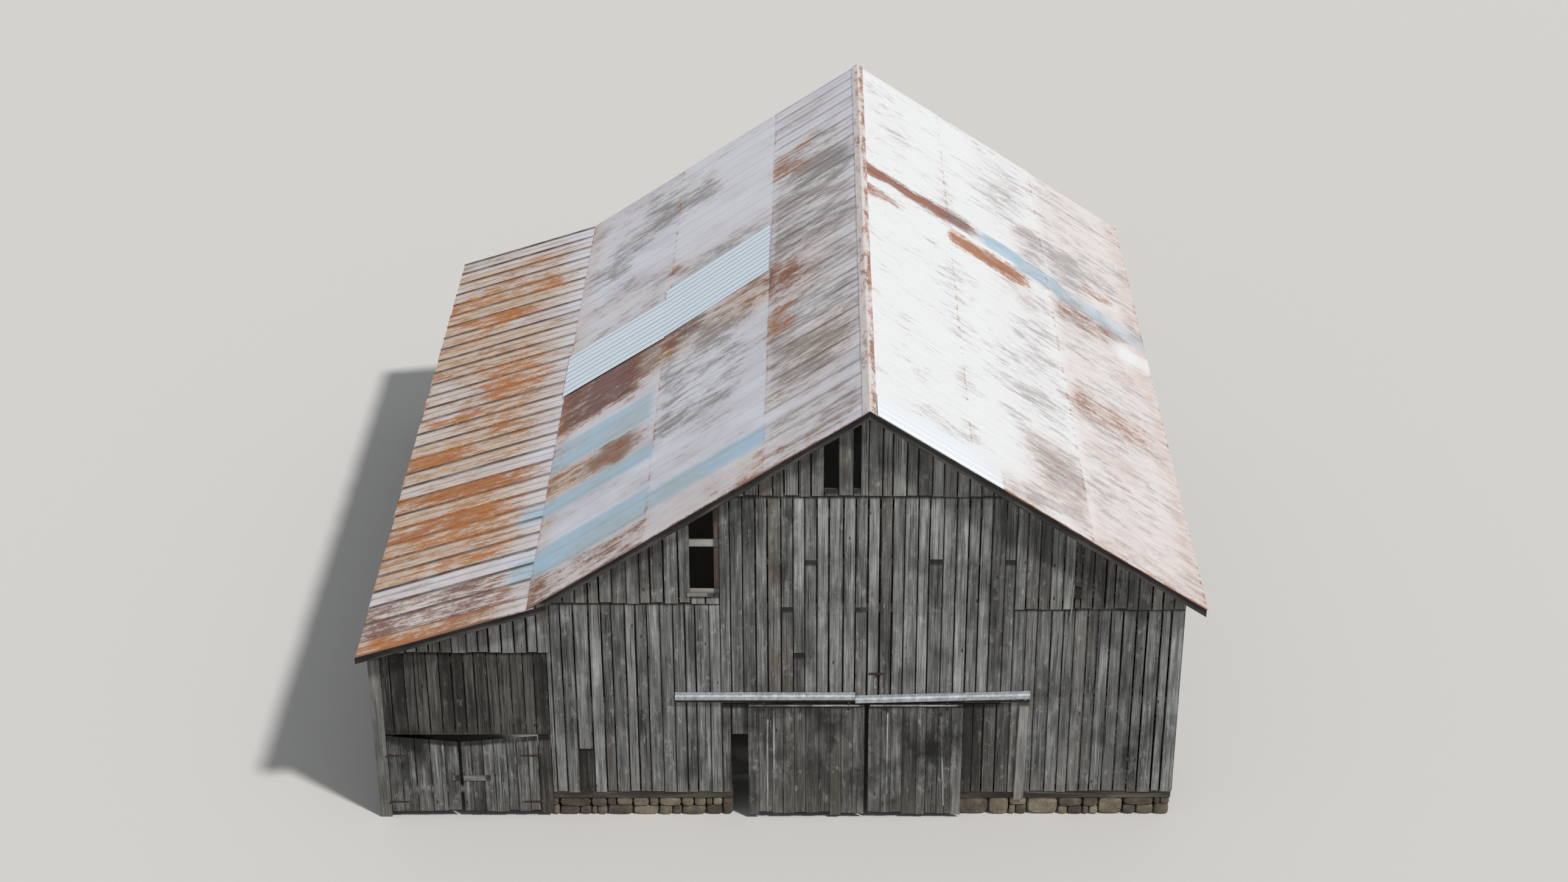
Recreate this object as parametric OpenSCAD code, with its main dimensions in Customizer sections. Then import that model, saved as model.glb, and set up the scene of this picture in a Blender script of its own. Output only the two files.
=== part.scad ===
// Weathered timber barn under a sheet-iron roof, with a shed along its left side.
// The front gable faces -Y, +X is to the right seen from the front and +Z is up.
// The origin is on the ground, at the middle of the building's box.
// Distances named from the ridge are measured across the building from the ridge line.

/* [Main barn] */
// Length over the boards of the two gable walls
barn_l = 17500; // [16000:10:19000]
// Width over the boards of the main barn
main_w = 12540; // [12000:10:13200]
// Height of the roof's apex, over the ribs of the sheets
ridge_z = 9600; // [9400:10:9900]
// Rise of the main roof for each unit of run
main_slope = 0.66; // [0.63:0.01:0.69]
// Overhang of the roof beyond each gable wall
gable_over = 400; // [250:10:600]
// Overhang of the main eaves beyond the side walls
eave_over = 390; // [300:10:450]

/* [Shed] */
// Width of the shed, from the main barn's board face to its own
shed_w = 3580; // [3400:10:3800]
// Drop of the shed roof for each unit of run
shed_slope = 0.32; // [0.28:0.01:0.34]
// Overhang of the shed's eave beyond its side wall
shed_over = 240; // [150:10:400]

/* [Timber frame] */
// Cross frames along the barn
bents = 5; // [4:1:6]
// Thickness of the main posts and plates
post_w = 200; // [180:5:220]
// Depth of the tie beams, sills and plates
beam_h = 200; // [180:5:220]
// Distance from the ridge to the inner posts' centres
bay_x = 2890; // [2800:10:2990]
// Thickness of the shed's posts and plate
shed_post_w = 150; // [130:5:170]
// Depth of the wall girts and door headers
girt_h = 150; // [120:5:180]
// Thickness of the wall girts
girt_t = 100; // [80:5:120]
// Height of the wall girts' undersides on the main walls
girt_z = 2760; // [2700:10:2900]
// Drop of the upper girts in the two gables below the ridge
gable_girt_drop = 3600; // [3560:10:3700]
// Thickness of the knee braces
brace_t = 100; // [80:5:120]
// Reach of the knee braces along post and tie
brace_run = 850; // [700:10:1000]
// Ledger that carries the heads of the shed rafters: thickness
ledger_t = 50; // [40:5:75]
// Ledger depth
ledger_h = 150; // [120:5:200]

/* [Rafters and lath] */
// Pairs of rafters along the barn
rafter_pairs = 19; // [15:1:21]
// Rafter thickness
rafter_w = 50; // [45:5:75]
// Rafter depth, square to the roof
rafter_d = 150; // [140:5:170]
// Heel of the main rafters' seats on their plates
heel = 65; // [50:5:80]
// Heel of the shed rafters' seats
shed_heel = 45; // [35:5:45]
// Tails of the rafters short of the roof's edge
tail_in = 50; // [30:5:80]
// Width of the roof lath
lath_w = 100; // [80:5:125]
// Thickness of the roof lath
lath_t = 25; // [20:1:30]
// Spacing of the lath down the roof
lath_step = 600; // [500:10:700]
// Thickness of the ridge board
ridge_board_t = 50; // [40:5:60]
// Depth of the rake boards
rake_h = 130; // [110:5:150]
// Rake boards short of the roof's edge
rake_in = 10; // [5:1:20]

/* [Roof sheets] */
// Thickness of the sheets, heavier than real sheet iron
sheet_t = 6; // [4:1:8]
// Height of the ribs at the sheets' side laps
rib_h = 16; // [12:1:20]
// Width of a rib at its foot
rib_foot = 50; // [44:1:60]
// Width of a rib at its top
rib_top = 20; // [14:1:24]
// Width that one sheet covers
sheet_cover = 610; // [560:10:660]
// Length of the top course, from the ridge to its lower edge
top_course = 2390; // [2250:10:2500]
// Length that shows of the middle course
middle_course = 2800; // [2650:10:2900]
// Lap of one course over the next
course_lap = 150; // [100:10:200]
// Gap between the sheets' heads under the ridge cap, each side
ridge_gap = 10; // [5:1:20]
// Tuck of the shed sheets under the main eave
shed_tuck = 160; // [120:10:200]
// Reach of the ridge cap down each side
cap_w = 130; // [110:5:180]
// Thickness of the ridge cap
cap_t = 4; // [3:1:6]
// Lift of the ridge cap over the ribs, whose sheets rise a little towards their feet
cap_lift = 0.6; // [0.5:0.1:0.9]

/* [Wall boards] */
// Thickness of the wall boards
board_t = 25; // [20:1:30]
// Height of the boards' lower ends above the ground
board_z = 580; // [520:10:620]
// Lap of the upper boards over the lower ones
tier_lap = 65; // [50:5:80]
// Lower edge of the peak's boards, below the ridge
peak_tier_drop = 2070; // [2050:5:2100]
// Lower edge of the left gable wing's upper boards, below the roof at the eave wall
left_tier_drop = 285; // [265:5:345]
// Lower edge of the right gable wing's upper boards, below the roof at the eave wall
right_tier_drop = 425; // [345:5:465]
// Lower edge of the shed gable's upper boards, below the shed roof at its side wall
shed_tier_drop = 168; // [160:1:198]
// Seam between the main boards and the shed's, beyond the main corner post
seam_out = 95; // [60:5:120]
// Width of the corner boards at the shed's outer corners
corner_w = 235; // [220:5:240]
// Return of the corner boards along the shed's side wall
corner_return = 150; // [120:5:200]

/* [Openings and damage] */
// Hay opening in the left gable wing: width, from the inner posts' centre line
hay_w = 560; // [500:10:650]
// Hay opening: lower edge above that of the wing's upper boards
hay_lift = 240; // [180:10:330]
// Hay opening: height of its sill board
hay_sill_h = 100; // [80:5:120]
// Hay opening: underside of its cross rail, below the ridge
hay_rail_drop = 3180; // [3100:10:3300]
// Hay opening: height of its cross rail
hay_rail_h = 160; // [120:5:200]
// Bearing of the hay opening's boards behind the wall boards
hay_bearing = 150; // [100:10:200]
// Slots of missing boards in the peak: lower edge above that of the peak's boards
slot_lift = 180; // [150:5:270]
// Wide slot: left edge, from the ridge to the left
wide_slot_x = 840; // [800:10:900]
// Wide slot: width
wide_slot_w = 260; // [200:10:300]
// Narrow slot: left edge, from the ridge to the left
narrow_slot_x = 285; // [250:5:320]
// Narrow slot: width
narrow_slot_w = 135; // [100:5:160]
// Broken boards in the right wing: left edge, from the ridge
break_x = 4060; // [3900:10:4300]
// Broken boards: lower edge above that of the wing's upper boards
break_lift = 350; // [270:10:420]
// Broken boards: width
break_w = 120; // [80:10:160]
// Broken boards: height
break_h = 290; // [200:10:350]
// Low hole in the left wing: left edge, from the frame's left face
hole_in = 465; // [395:5:595]
// Low hole: width
hole_w = 300; // [250:10:350]
// Low hole: lower edge
hole_z = 680; // [650:10:720]
// Low hole: height
hole_h = 980; // [850:10:1050]
// Margin of the board behind the low hole
hole_margin = 40; // [30:5:60]

/* [Sliding doors] */
// Doorway: left edge, from the ridge to the left
doorway_left = 2690; // [2600:10:2700]
// Doorway: right edge, from the ridge
doorway_right = 1880; // [1800:10:1900]
// Jamb stud at the doorway's right edge: width
jamb_w = 110; // [90:5:130]
// Short boards left of the doors: right edge, from the ridge to the left
short_x = 2330; // [2300:5:2350]
// Short boards left of the doors: lower edge
short_z = 1984; // [1900:5:2050]
// Left door: width
left_door_w = 2340; // [2320:5:2400]
// Right door: width
right_door_w = 1900; // [1870:5:1950]
// Gap between the doors
door_split = 75; // [50:5:90]
// Middle of the gap between the doors, from the ridge
door_split_x = 12; // [-10:1:30]
// Doors: lower edge above the ground
door_z = 60; // [30:5:100]
// Doors: upper edge
door_top_z = 2822; // [2800:1:2825]
// Doors: clear space between wall and door
door_clear = 30; // [30:1:34]
// Doors: thickness of the boards
door_board_t = 20; // [18:1:22]
// Doors: thickness of the ledges behind them
ledge_t = 22; // [18:1:24]
// Doors: width of the ledges
ledge_h = 150; // [120:5:180]
// Doors: distance of the end ledges from the door's ends
ledge_in = 250; // [200:10:350]

/* [Door track] */
// Track: left end, from the ridge to the left
track_left = 3810; // [3750:10:3900]
// Track: right end, from the ridge
track_right = 3270; // [3250:10:3400]
// Joint between the two hoods, from the ridge to the left
hood_joint_x = 220; // [150:10:300]
// Rail: upper edge
rail_z = 2875; // [2873:1:2880]
// Rail: height
rail_h = 38; // [34:1:40]
// Rail: thickness
rail_t = 8; // [6:1:10]
// Rail: distance from the wall to its back
rail_out = 56; // [54:1:58]
// Rail brackets: count
rail_brackets = 9; // [6:1:12]
// Rail brackets: width
bracket_w = 40; // [30:5:60]
// Rail brackets: height
bracket_h = 22; // [18:1:24]
// Hood: top of the left half at the wall
hood_z = 3035; // [3020:5:3050]
// Hood: reach from the wall
hood_out = 105; // [100:1:120]
// Hood: height from its lip to the wall's edge
hood_h = 120; // [110:5:130]
// Hood: fall of its top towards the lip
hood_fall = 30; // [20:5:40]
// Hood: thickness of the sheet
hood_t = 4; // [3:1:5]
// Hood: rise of the right half's outer end over the left half
hood_rise = 30; // [10:5:40]
// Hood: droop of the right half's inner end
hood_droop = 75; // [40:5:80]
// Hangers: distance of the wheels from the doors' ends
hanger_in = 320; // [250:10:400]
// Hangers: width of the strap
strap_w = 50; // [40:5:60]
// Hangers: thickness of the strap
strap_t = 6; // [5:1:8]
// Hangers: length of the strap on the door
strap_l = 170; // [140:5:220]
// Hangers: radius of the wheel at its groove
wheel_r = 24; // [22:1:26]
// Hangers: height of the wheel's flanges
flange_h = 8; // [6:1:9]
// Hangers: width of the wheel
wheel_w = 16; // [14:1:18]
// Hangers: radius of the axle
axle_r = 7; // [6:0.5:8]
// Running clearance of wheels, pins and rail
run_gap = 0.5; // [0.3:0.1:0.8]
// Nailed cover board beside the track's end: left edge, from the ridge
cover_x = 3030; // [3000:5:3050]
// Nailed cover board: width
cover_w = 200; // [180:5:220]
// Nailed cover board: lower end
cover_z = 400; // [350:10:500]
// Nailed cover board: upper end
cover_top_z = 2815; // [2750:5:2820]
// Nailed cover board: lean from upright, in degrees
cover_lean = 1; // [0:0.1:1.5]

/* [Shed doors] */
// Shed doorway: distance from the shed's outer face to its left edge
shed_door_in = 210; // [190:5:220]
// Shed doorway: width
shed_door_w = 3050; // [2950:10:3060]
// Shed doorway: height
shed_door_h = 2000; // [1950:5:2050]
// Jamb post right of the shed doorway: width
shed_jamb_w = 120; // [100:5:140]
// Left leaf: width
left_leaf_w = 1430; // [1400:5:1450]
// Clearance between a leaf and its jamb
leaf_gap = 8; // [7:1:10]
// Gap between the leaves
leaf_split = 55; // [40:5:70]
// Leaves: lower edge above the ground
leaf_z = 120; // [80:10:180]
// Leaves: drop of the hinge side's top under the header
leaf_top_gap = 12; // [10:1:20]
// Leaves: sag of the free corners
leaf_sag = 145; // [100:5:160]
// Leaves: thickness of the boards
leaf_board_t = 22; // [20:1:25]
// Leaves: thickness of the ledges
leaf_ledge_t = 22; // [18:1:24]
// Strap hinges: height of the upper strap
hinge_top_z = 1520; // [1450:10:1600]
// Strap hinges: height of the lower strap
hinge_low_z = 380; // [320:10:450]
// Strap hinges: length
hinge_l = 360; // [300:10:450]
// Strap hinges: width at the knuckle
hinge_w = 50; // [40:2:60]
// Strap hinges: width at the tip
hinge_tip_w = 24; // [18:2:30]
// Strap hinges: thickness
hinge_t = 6; // [5:1:7]
// Strap hinges: radius of the knuckle
knuckle_r = 11; // [10.5:0.5:12]
// Strap hinges: space between the knuckle and the jamb behind it
knuckle_lift = 1; // [0.6:0.1:2]
// Strap hinges: radius of the pin
pin_r = 6; // [5:0.5:7]
// Pintle plate: width
pintle_w = 60; // [50:5:80]
// Pintle plate: thickness
pintle_t = 5; // [4:1:6]
// Cross board over the split: distance of its left end left of the left leaf's edge
cross_left = 170; // [120:10:250]
// Cross board: length on the right leaf
cross_right = 560; // [450:10:650]
// Cross board: height of its middle
cross_z = 977; // [900:10:1050]
// Cross board: width
cross_h = 120; // [90:5:140]
// Cross board: thickness
cross_t = 22; // [18:1:25]

/* [Foundation] */
// Height of the stone foundation
stone_h = 440; // [400:10:480]
// Thickness of the foundation walls
stone_w = 400; // [350:10:450]
// Height of the stones under the inner posts
pad_h = 150; // [100:10:200]
// Width of the stones under the inner posts
pad_w = 450; // [400:10:520]

/* [Hidden] */
$fn = 48;

// Plan: half widths from the ridge, and half lengths from the middle
half_w = main_w / 2;
frame_x = half_w - board_t;
eave_x = half_w + eave_over;
shed_x = half_w + shed_w;
shed_frame_x = shed_x - board_t;
shed_eave_x = shed_x + shed_over;
ridge_x = (shed_eave_x - eave_x) / 2;
wall_y = barn_l / 2;
frame_y = wall_y - board_t;
roof_l = barn_l + 2 * gable_over;
seam_x = frame_x + seam_out;
bay_in = bay_x - post_w / 2;
bay_out = bay_x + post_w / 2;
post_in = frame_x - post_w;
shed_post_in = shed_frame_x - shed_post_w;

// Roof planes: heights at a distance from the ridge, and depths square to each slope
main_angle = atan(main_slope);
shed_angle = atan(shed_slope);
main_c = cos(main_angle);
shed_c = cos(shed_angle);
sheet_h = sheet_t + rib_h;
roof_h = lath_t + sheet_h;
rafter_apex_z = ridge_z - roof_h / main_c;
function rafter_top(x) = rafter_apex_z - main_slope * x;
function rafter_low(x) = rafter_top(x) - rafter_d / main_c;
function main_run_at(z) = (rafter_low(0) - z) / main_slope;

// The shed's sheets lie under the lower edge of the main sheets
eave_corner_x = eave_x - sheet_h * sin(main_angle);
eave_corner_z = rafter_top(eave_corner_x) + lath_t / main_c;
shed_gap = 0.8;
function shed_top(x) =
    eave_corner_z - shed_gap - (sheet_t + lath_t) / shed_c - shed_slope * (x - eave_corner_x);
function shed_low(x) = shed_top(x) - rafter_d / shed_c;
function shed_run_at(z) = frame_x + (shed_low(frame_x) - z) / shed_slope;

// Frame heights
sill_z = stone_h + beam_h;
plate_z = rafter_low(frame_x) + heel;
tie_z = plate_z - 2 * beam_h;
purlin_z = rafter_low(bay_out) + heel;
shed_plate_z = shed_low(shed_frame_x) + shed_heel;
shed_tie_z = shed_plate_z - 2 * shed_post_w;
ledger_seat = 10;
ledger_z = shed_low(frame_x) + ledger_seat;
gable_girt_z = ridge_z - gable_girt_drop;

// Lower edges of the upper boards, and the openings measured from them
peak_tier_z = ridge_z - peak_tier_drop;
left_tier_z = rafter_top(half_w) - left_tier_drop;
right_tier_z = rafter_top(half_w) - right_tier_drop;
shed_tier_z = shed_top(shed_x) - shed_tier_drop;
shed_lap_z = shed_tier_z + tier_lap;
hay_z = left_tier_z + hay_lift;
hay_rail_z = ridge_z - hay_rail_drop;
slot_z = peak_tier_z + slot_lift;
break_z = right_tier_z + break_lift;
hole_x = frame_x - hole_in;

// Doors and track, as distances out from the wall's face
door_back = door_clear;
door_face = door_back + ledge_t + door_board_t;
left_door_x = door_split_x - door_split / 2;
right_door_x = door_split_x + door_split / 2;
wheel_z = rail_z + wheel_r + run_gap;
wheel_mid = rail_out + rail_t / 2;

// Shed doorway
shed_door_left = shed_x - shed_door_in;
shed_door_right = shed_door_left - shed_door_w;
left_leaf_x = shed_door_left - leaf_gap;
right_leaf_x = shed_door_right + leaf_gap;
right_leaf_w = left_leaf_x - right_leaf_x - left_leaf_w - leaf_split;
leaf_face = board_t;
leaf_t = leaf_board_t + leaf_ledge_t;
pin_out = leaf_face + knuckle_r + knuckle_lift;
hinge_zs = [hinge_low_z, hinge_top_z];

// Helpers: a box from its corners, a profile seen from the front, and copies
module box(x, y, z)
    translate([x[0], y[0], z[0]]) cube([x[1] - x[0], y[1] - y[0], z[1] - z[0]]);
module panel(points, y0, y1)
    translate([0, y1, 0]) rotate([90, 0, 0]) linear_extrude(y1 - y0) polygon(points);
module at_ridge() translate([ridge_x, 0, 0]) children();
module to_left() mirror([1, 0, 0]) children();
module to_rear() mirror([0, 1, 0]) children();
module both_sides() { children(); to_left() children(); }
module both_ends() { children(); to_rear() children(); }

// Copies at each cross frame and between the cross frames
function bent_y(i, w) = -frame_y + w / 2 + i * (2 * frame_y - w) / (bents - 1);
module at_bents(w, from = 0, to = 0)
    for (i = [from : bents - 1 - to]) translate([0, bent_y(i, w), 0]) children();

// Foundation walls and stones; walls and sills meet at hairline joints
joint = 0.5;
wall_in = frame_y - stone_w - joint;
module post_stone(x)
    at_bents(post_w, 1, 1) box([x - pad_w / 2, x + pad_w / 2], [-pad_w / 2, pad_w / 2], [0, pad_h]);
module foundation() at_ridge() color("#7d7568") {
    front = [-frame_y, stone_w - frame_y];
    box([-shed_frame_x, -shed_door_left], front, [0, stone_h]);
    box([-shed_door_right, -doorway_left], front, [0, stone_h]);
    box([doorway_right, frame_x], front, [0, stone_h]);
    box([-shed_frame_x, frame_x], [frame_y - stone_w, frame_y], [0, stone_h]);
    box([frame_x - stone_w, frame_x], [-wall_in, wall_in], [0, stone_h]);
    box([-shed_frame_x, stone_w - shed_frame_x], [-wall_in, wall_in], [0, stone_h]);
    post_stone(-bay_x);
    post_stone(bay_x);
    post_stone(post_w / 2 - frame_x);
}

// Sills on the foundation
module sills() at_ridge() color("#4a443d") {
    front = [-frame_y, post_w - frame_y];
    z = [stone_h, sill_z];
    side_y = frame_y - post_w - joint;
    box([-shed_door_right + shed_jamb_w, -doorway_left], front, z);
    box([doorway_right + jamb_w, frame_x], front, z);
    box([post_in, frame_x], [-side_y, side_y], z);
    box([-frame_x, frame_x], [frame_y - post_w, frame_y], z);
    box([-shed_frame_x, -shed_post_in], [-frame_y, frame_y], z);
    box([joint - shed_post_in, -frame_x - joint], [frame_y - shed_post_w, frame_y], z);
}

// Posts: the ends stand on sills, the inner ones on stones
module post_row(x, top, inner_foot)
    for (i = [0 : bents - 1]) {
        foot = (i == 0 || i == bents - 1) ? sill_z : inner_foot;
        translate([0, bent_y(i, post_w), 0])
            box([x - post_w / 2, x + post_w / 2], [-post_w / 2, post_w / 2], [foot, top]);
    }
module posts() at_ridge() color("#6a5f52") {
    post_row(frame_x - post_w / 2, plate_z - beam_h, sill_z);
    post_row(post_w / 2 - frame_x, plate_z - beam_h, pad_h);
    post_row(-bay_x, purlin_z - beam_h, pad_h);
    post_row(bay_x, purlin_z - beam_h, pad_h);
    at_bents(shed_post_w)
        box([-shed_frame_x, -shed_post_in], [-shed_post_w / 2, shed_post_w / 2],
            [sill_z, shed_plate_z - shed_post_w]);
}

// Doorway jambs and headers
module door_jambs() at_ridge() color("#6a5f52") {
    box([doorway_right, doorway_right + jamb_w], [-frame_y, shed_post_w - frame_y],
        [stone_h, girt_z]);
    box([-shed_door_right, -shed_door_right + shed_jamb_w], [-frame_y, shed_post_w - frame_y],
        [stone_h, shed_door_h]);
}
module door_headers() at_ridge() color("#6a5f52") {
    box([-bay_in, bay_in], [-frame_y, shed_post_w - frame_y], [girt_z, girt_z + girt_h]);
    box([-shed_post_in, -frame_x], [-frame_y, shed_post_w - frame_y],
        [shed_door_h, shed_door_h + girt_h]);
}

// Wall girts, cut in between the posts
module gable_girts(z) {
    box([bay_out, post_in], [-frame_y, girt_t - frame_y], [z, z + girt_h]);
    to_left() box([bay_out, post_in], [-frame_y, girt_t - frame_y], [z, z + girt_h]);
}
module between_bents(w, x, z)
    for (i = [0 : bents - 2])
        box(x, [bent_y(i, w) + w / 2, bent_y(i + 1, w) - w / 2], [z, z + girt_h]);
module peak_girt()
    panel([[-main_run_at(purlin_z), purlin_z], [main_run_at(purlin_z), purlin_z],
           [main_run_at(purlin_z + girt_h), purlin_z + girt_h],
           [-main_run_at(purlin_z + girt_h), purlin_z + girt_h]],
          -frame_y, girt_t - frame_y);
module wall_girts() at_ridge() color("#6a5f52") {
    both_ends() {
        gable_girts(girt_z);
        box([-bay_in, bay_in], [-frame_y, girt_t - frame_y],
            [gable_girt_z, gable_girt_z + girt_h]);
        peak_girt();
    }
    box([-bay_in, bay_in], [frame_y - girt_t, frame_y], [girt_z, girt_z + girt_h]);
    box([-shed_post_in, -frame_x], [frame_y - girt_t, frame_y],
        [shed_door_h, shed_door_h + girt_h]);
    between_bents(post_w, [frame_x - girt_t, frame_x], girt_z);
    between_bents(shed_post_w, [-shed_frame_x, girt_t - shed_frame_x], shed_door_h);
}

// Cross timbers of each frame: ties at the eaves, collars at the purlins and shed ties
module tie_beams() at_ridge() color("#6a5f52") {
    at_bents(post_w) {
        y = [-post_w / 2, post_w / 2];
        box([-post_in, -bay_out], y, [tie_z, tie_z + beam_h]);
        box([-bay_in, bay_in], y, [tie_z, tie_z + beam_h]);
        box([bay_out, post_in], y, [tie_z, tie_z + beam_h]);
        box([-bay_in, bay_in], y, [purlin_z - 2 * beam_h, purlin_z - beam_h]);
    }
    at_bents(shed_post_w)
        box([-shed_post_in, -frame_x], [-shed_post_w / 2, shed_post_w / 2],
            [shed_tie_z, shed_tie_z + shed_post_w]);
}
module brace(x, z, way)
    panel([[x, z - brace_run], [x, z - brace_run + brace_t * sqrt(2)],
           [x + way * (brace_run - brace_t * sqrt(2)), z], [x + way * brace_run, z]],
          -brace_t / 2, brace_t / 2);
module knee_braces() at_ridge() color("#6a5f52")
    at_bents(post_w) both_sides() {
        brace(bay_in, tie_z, -1);
        brace(post_in, tie_z, -1);
        brace(bay_in, purlin_z - 2 * beam_h, -1);
    }

// Plates, ledger and ridge board along the barn
module plates() at_ridge() color("#6a5f52") {
    both_sides() {
        box([post_in, frame_x], [-frame_y, frame_y], [plate_z - beam_h, plate_z]);
        box([bay_in, bay_out], [-frame_y, frame_y], [purlin_z - beam_h, purlin_z]);
    }
    box([-shed_frame_x, -shed_post_in], [-frame_y, frame_y],
        [shed_plate_z - shed_post_w, shed_plate_z]);
}
module shed_ledger() at_ridge() color("#6a5f52")
    box([-frame_x - ledger_t, -frame_x], [-frame_y, frame_y], [ledger_z - ledger_h, ledger_z]);
module ridge_board() at_ridge() color("#6a5f52")
    box([-ridge_board_t / 2, ridge_board_t / 2], [-wall_y, wall_y],
        [rafter_low(ridge_board_t / 2), rafter_top(ridge_board_t / 2)]);

// Rafters, with seats cut for the plates they rest on
module at_rafters() {
    step = (barn_l - rafter_w) / (rafter_pairs - 1);
    for (i = [0 : rafter_pairs - 1]) translate([0, -wall_y + i * step, 0]) children();
}
purlin_seat = [
    [bay_out, rafter_low(bay_out)], [bay_out, purlin_z],
    [bay_out - heel / main_slope, purlin_z]
];
function main_rafter(tail) = concat(
    [[ridge_board_t / 2, rafter_top(ridge_board_t / 2)]],
    tail > frame_x ? [[tail, rafter_top(tail)], [tail, rafter_low(tail)],
                      [frame_x, rafter_low(frame_x)]] : [[frame_x, rafter_top(frame_x)]],
    [[frame_x, plate_z], [frame_x - heel / main_slope, plate_z]],
    purlin_seat,
    [[ridge_board_t / 2, rafter_low(ridge_board_t / 2)]]);
module main_rafters() at_ridge() color("#7b6f60")
    at_rafters() {
        panel(main_rafter(eave_x - tail_in), 0, rafter_w);
        to_left() panel(main_rafter(frame_x), 0, rafter_w);
    }
module shed_rafters() at_ridge() color("#7b6f60") {
    tail = shed_eave_x - tail_in;
    ledger_x = frame_x + ledger_t;
    at_rafters() to_left()
        panel([[frame_x, shed_top(frame_x)], [tail, shed_top(tail)], [tail, shed_low(tail)],
               [shed_frame_x, shed_low(shed_frame_x)], [shed_frame_x, shed_plate_z],
               [shed_frame_x - shed_heel / shed_slope, shed_plate_z],
               [ledger_x, shed_low(ledger_x)], [ledger_x, ledger_z], [frame_x, ledger_z]],
              0, rafter_w);
}

// Roof frames of reference: x runs down the slope, z stands square to it from the rafters
module on_main() translate([0, 0, rafter_apex_z]) rotate([0, main_angle, 0]) children();
module on_shed()
    to_left() translate([frame_x, 0, shed_top(frame_x)]) rotate([0, shed_angle, 0]) children();
main_len = (eave_x - roof_h * sin(main_angle)) / main_c;
main_frame_len = frame_x / main_c;
shed_len = (shed_eave_x - frame_x - roof_h * sin(shed_angle)) / shed_c;
shed_start = (eave_x - shed_tuck - frame_x) / shed_c;
lath_half = roof_l / 2 - rake_in - board_t;
lath_in = 60;
module lath_rows(from, to)
    for (s = [from : lath_step : to - lath_w])
        box([s, s + lath_w], [-lath_half, lath_half], [0, lath_t]);
module roof_lath() at_ridge() color("#8a7c69") {
    on_main() lath_rows(lath_in, main_len - tail_in);
    to_left() on_main() lath_rows(lath_in, main_frame_len);
    on_shed() lath_rows(shed_start + lath_in, shed_len - tail_in);
}

// Rake boards close the ends of the lath at each gable, a hair under the sheets
rake_gap = 0.3;
function main_lath_top(x) = rafter_top(x) + (lath_t - rake_gap) / main_c;
function shed_lath_top(x) = shed_top(x) + (lath_t - rake_gap) / shed_c;
module rake_boards() at_ridge() color("#8f7a66")
    both_ends() {
        y0 = -roof_l / 2 + rake_in;
        right_end = eave_x - tail_in;
        shed_end = shed_eave_x - tail_in;
        panel([[-frame_x, main_lath_top(frame_x)], [0, main_lath_top(0)],
               [right_end, main_lath_top(right_end)],
               [right_end, main_lath_top(right_end) - rake_h / main_c],
               [0, main_lath_top(0) - rake_h / main_c],
               [-frame_x, main_lath_top(frame_x) - rake_h / main_c]], y0, y0 + board_t);
        to_left()
            panel([[frame_x, shed_lath_top(frame_x)], [shed_end, shed_lath_top(shed_end)],
                   [shed_end, shed_lath_top(shed_end) - rake_h / shed_c],
                   [frame_x, shed_lath_top(frame_x) - rake_h / shed_c]], y0, y0 + board_t);
    }

// Roof sheets: ribs at the side laps, and each course's foot lying on the next one's head
sheets = round(roof_l / sheet_cover);
function rib_points(lift) = [
    for (i = [1 : sheets - 1], p = [[-rib_foot, 0], [-rib_top, rib_h], [rib_top, rib_h],
                                    [rib_foot, 0]])
        [-roof_l / 2 + i * roof_l / sheets + p[0] / 2, p[1] + lift]
];
function sheet_line(lift) = concat([[-roof_l / 2, lift]], rib_points(lift), [[roof_l / 2, lift]]);
function backwards(v) = [for (i = [len(v) - 1 : -1 : 0]) v[i]];
module course(from, len, tilted)
    translate([from, 0, lath_t]) rotate([0, tilted ? -asin(sheet_t / (len - course_lap)) : 0, 0])
        rotate([90, 0, 90]) linear_extrude(len)
            polygon(concat(sheet_line(0), backwards(sheet_line(sheet_t))));
module top_sheets() at_ridge() color("#cfc6bf")
    both_sides() on_main() course(ridge_gap, top_course - ridge_gap, true);
module middle_sheets() at_ridge() color("#c6bcb5")
    both_sides() on_main()
        course(top_course - course_lap, middle_course + course_lap, true);
module low_sheets() at_ridge() color("#bfb2aa") {
    head = top_course + middle_course - course_lap;
    both_sides() on_main() course(head, main_len - head, false);
}
module shed_sheets() at_ridge() color("#b58f80")
    on_shed() course(shed_start, shed_len - shed_start, false);
module ridge_cap() at_ridge() color("#8a6f62") {
    cap_z = ridge_z + cap_lift;
    cap_top = cap_z + cap_t / main_c;
    cap_drop = main_slope * cap_w;
    panel([[-cap_w, cap_z - cap_drop], [0, cap_z], [cap_w, cap_z - cap_drop],
           [cap_w, cap_top - cap_drop], [0, cap_top], [-cap_w, cap_top - cap_drop]],
          -roof_l / 2, roof_l / 2);
}

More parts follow.
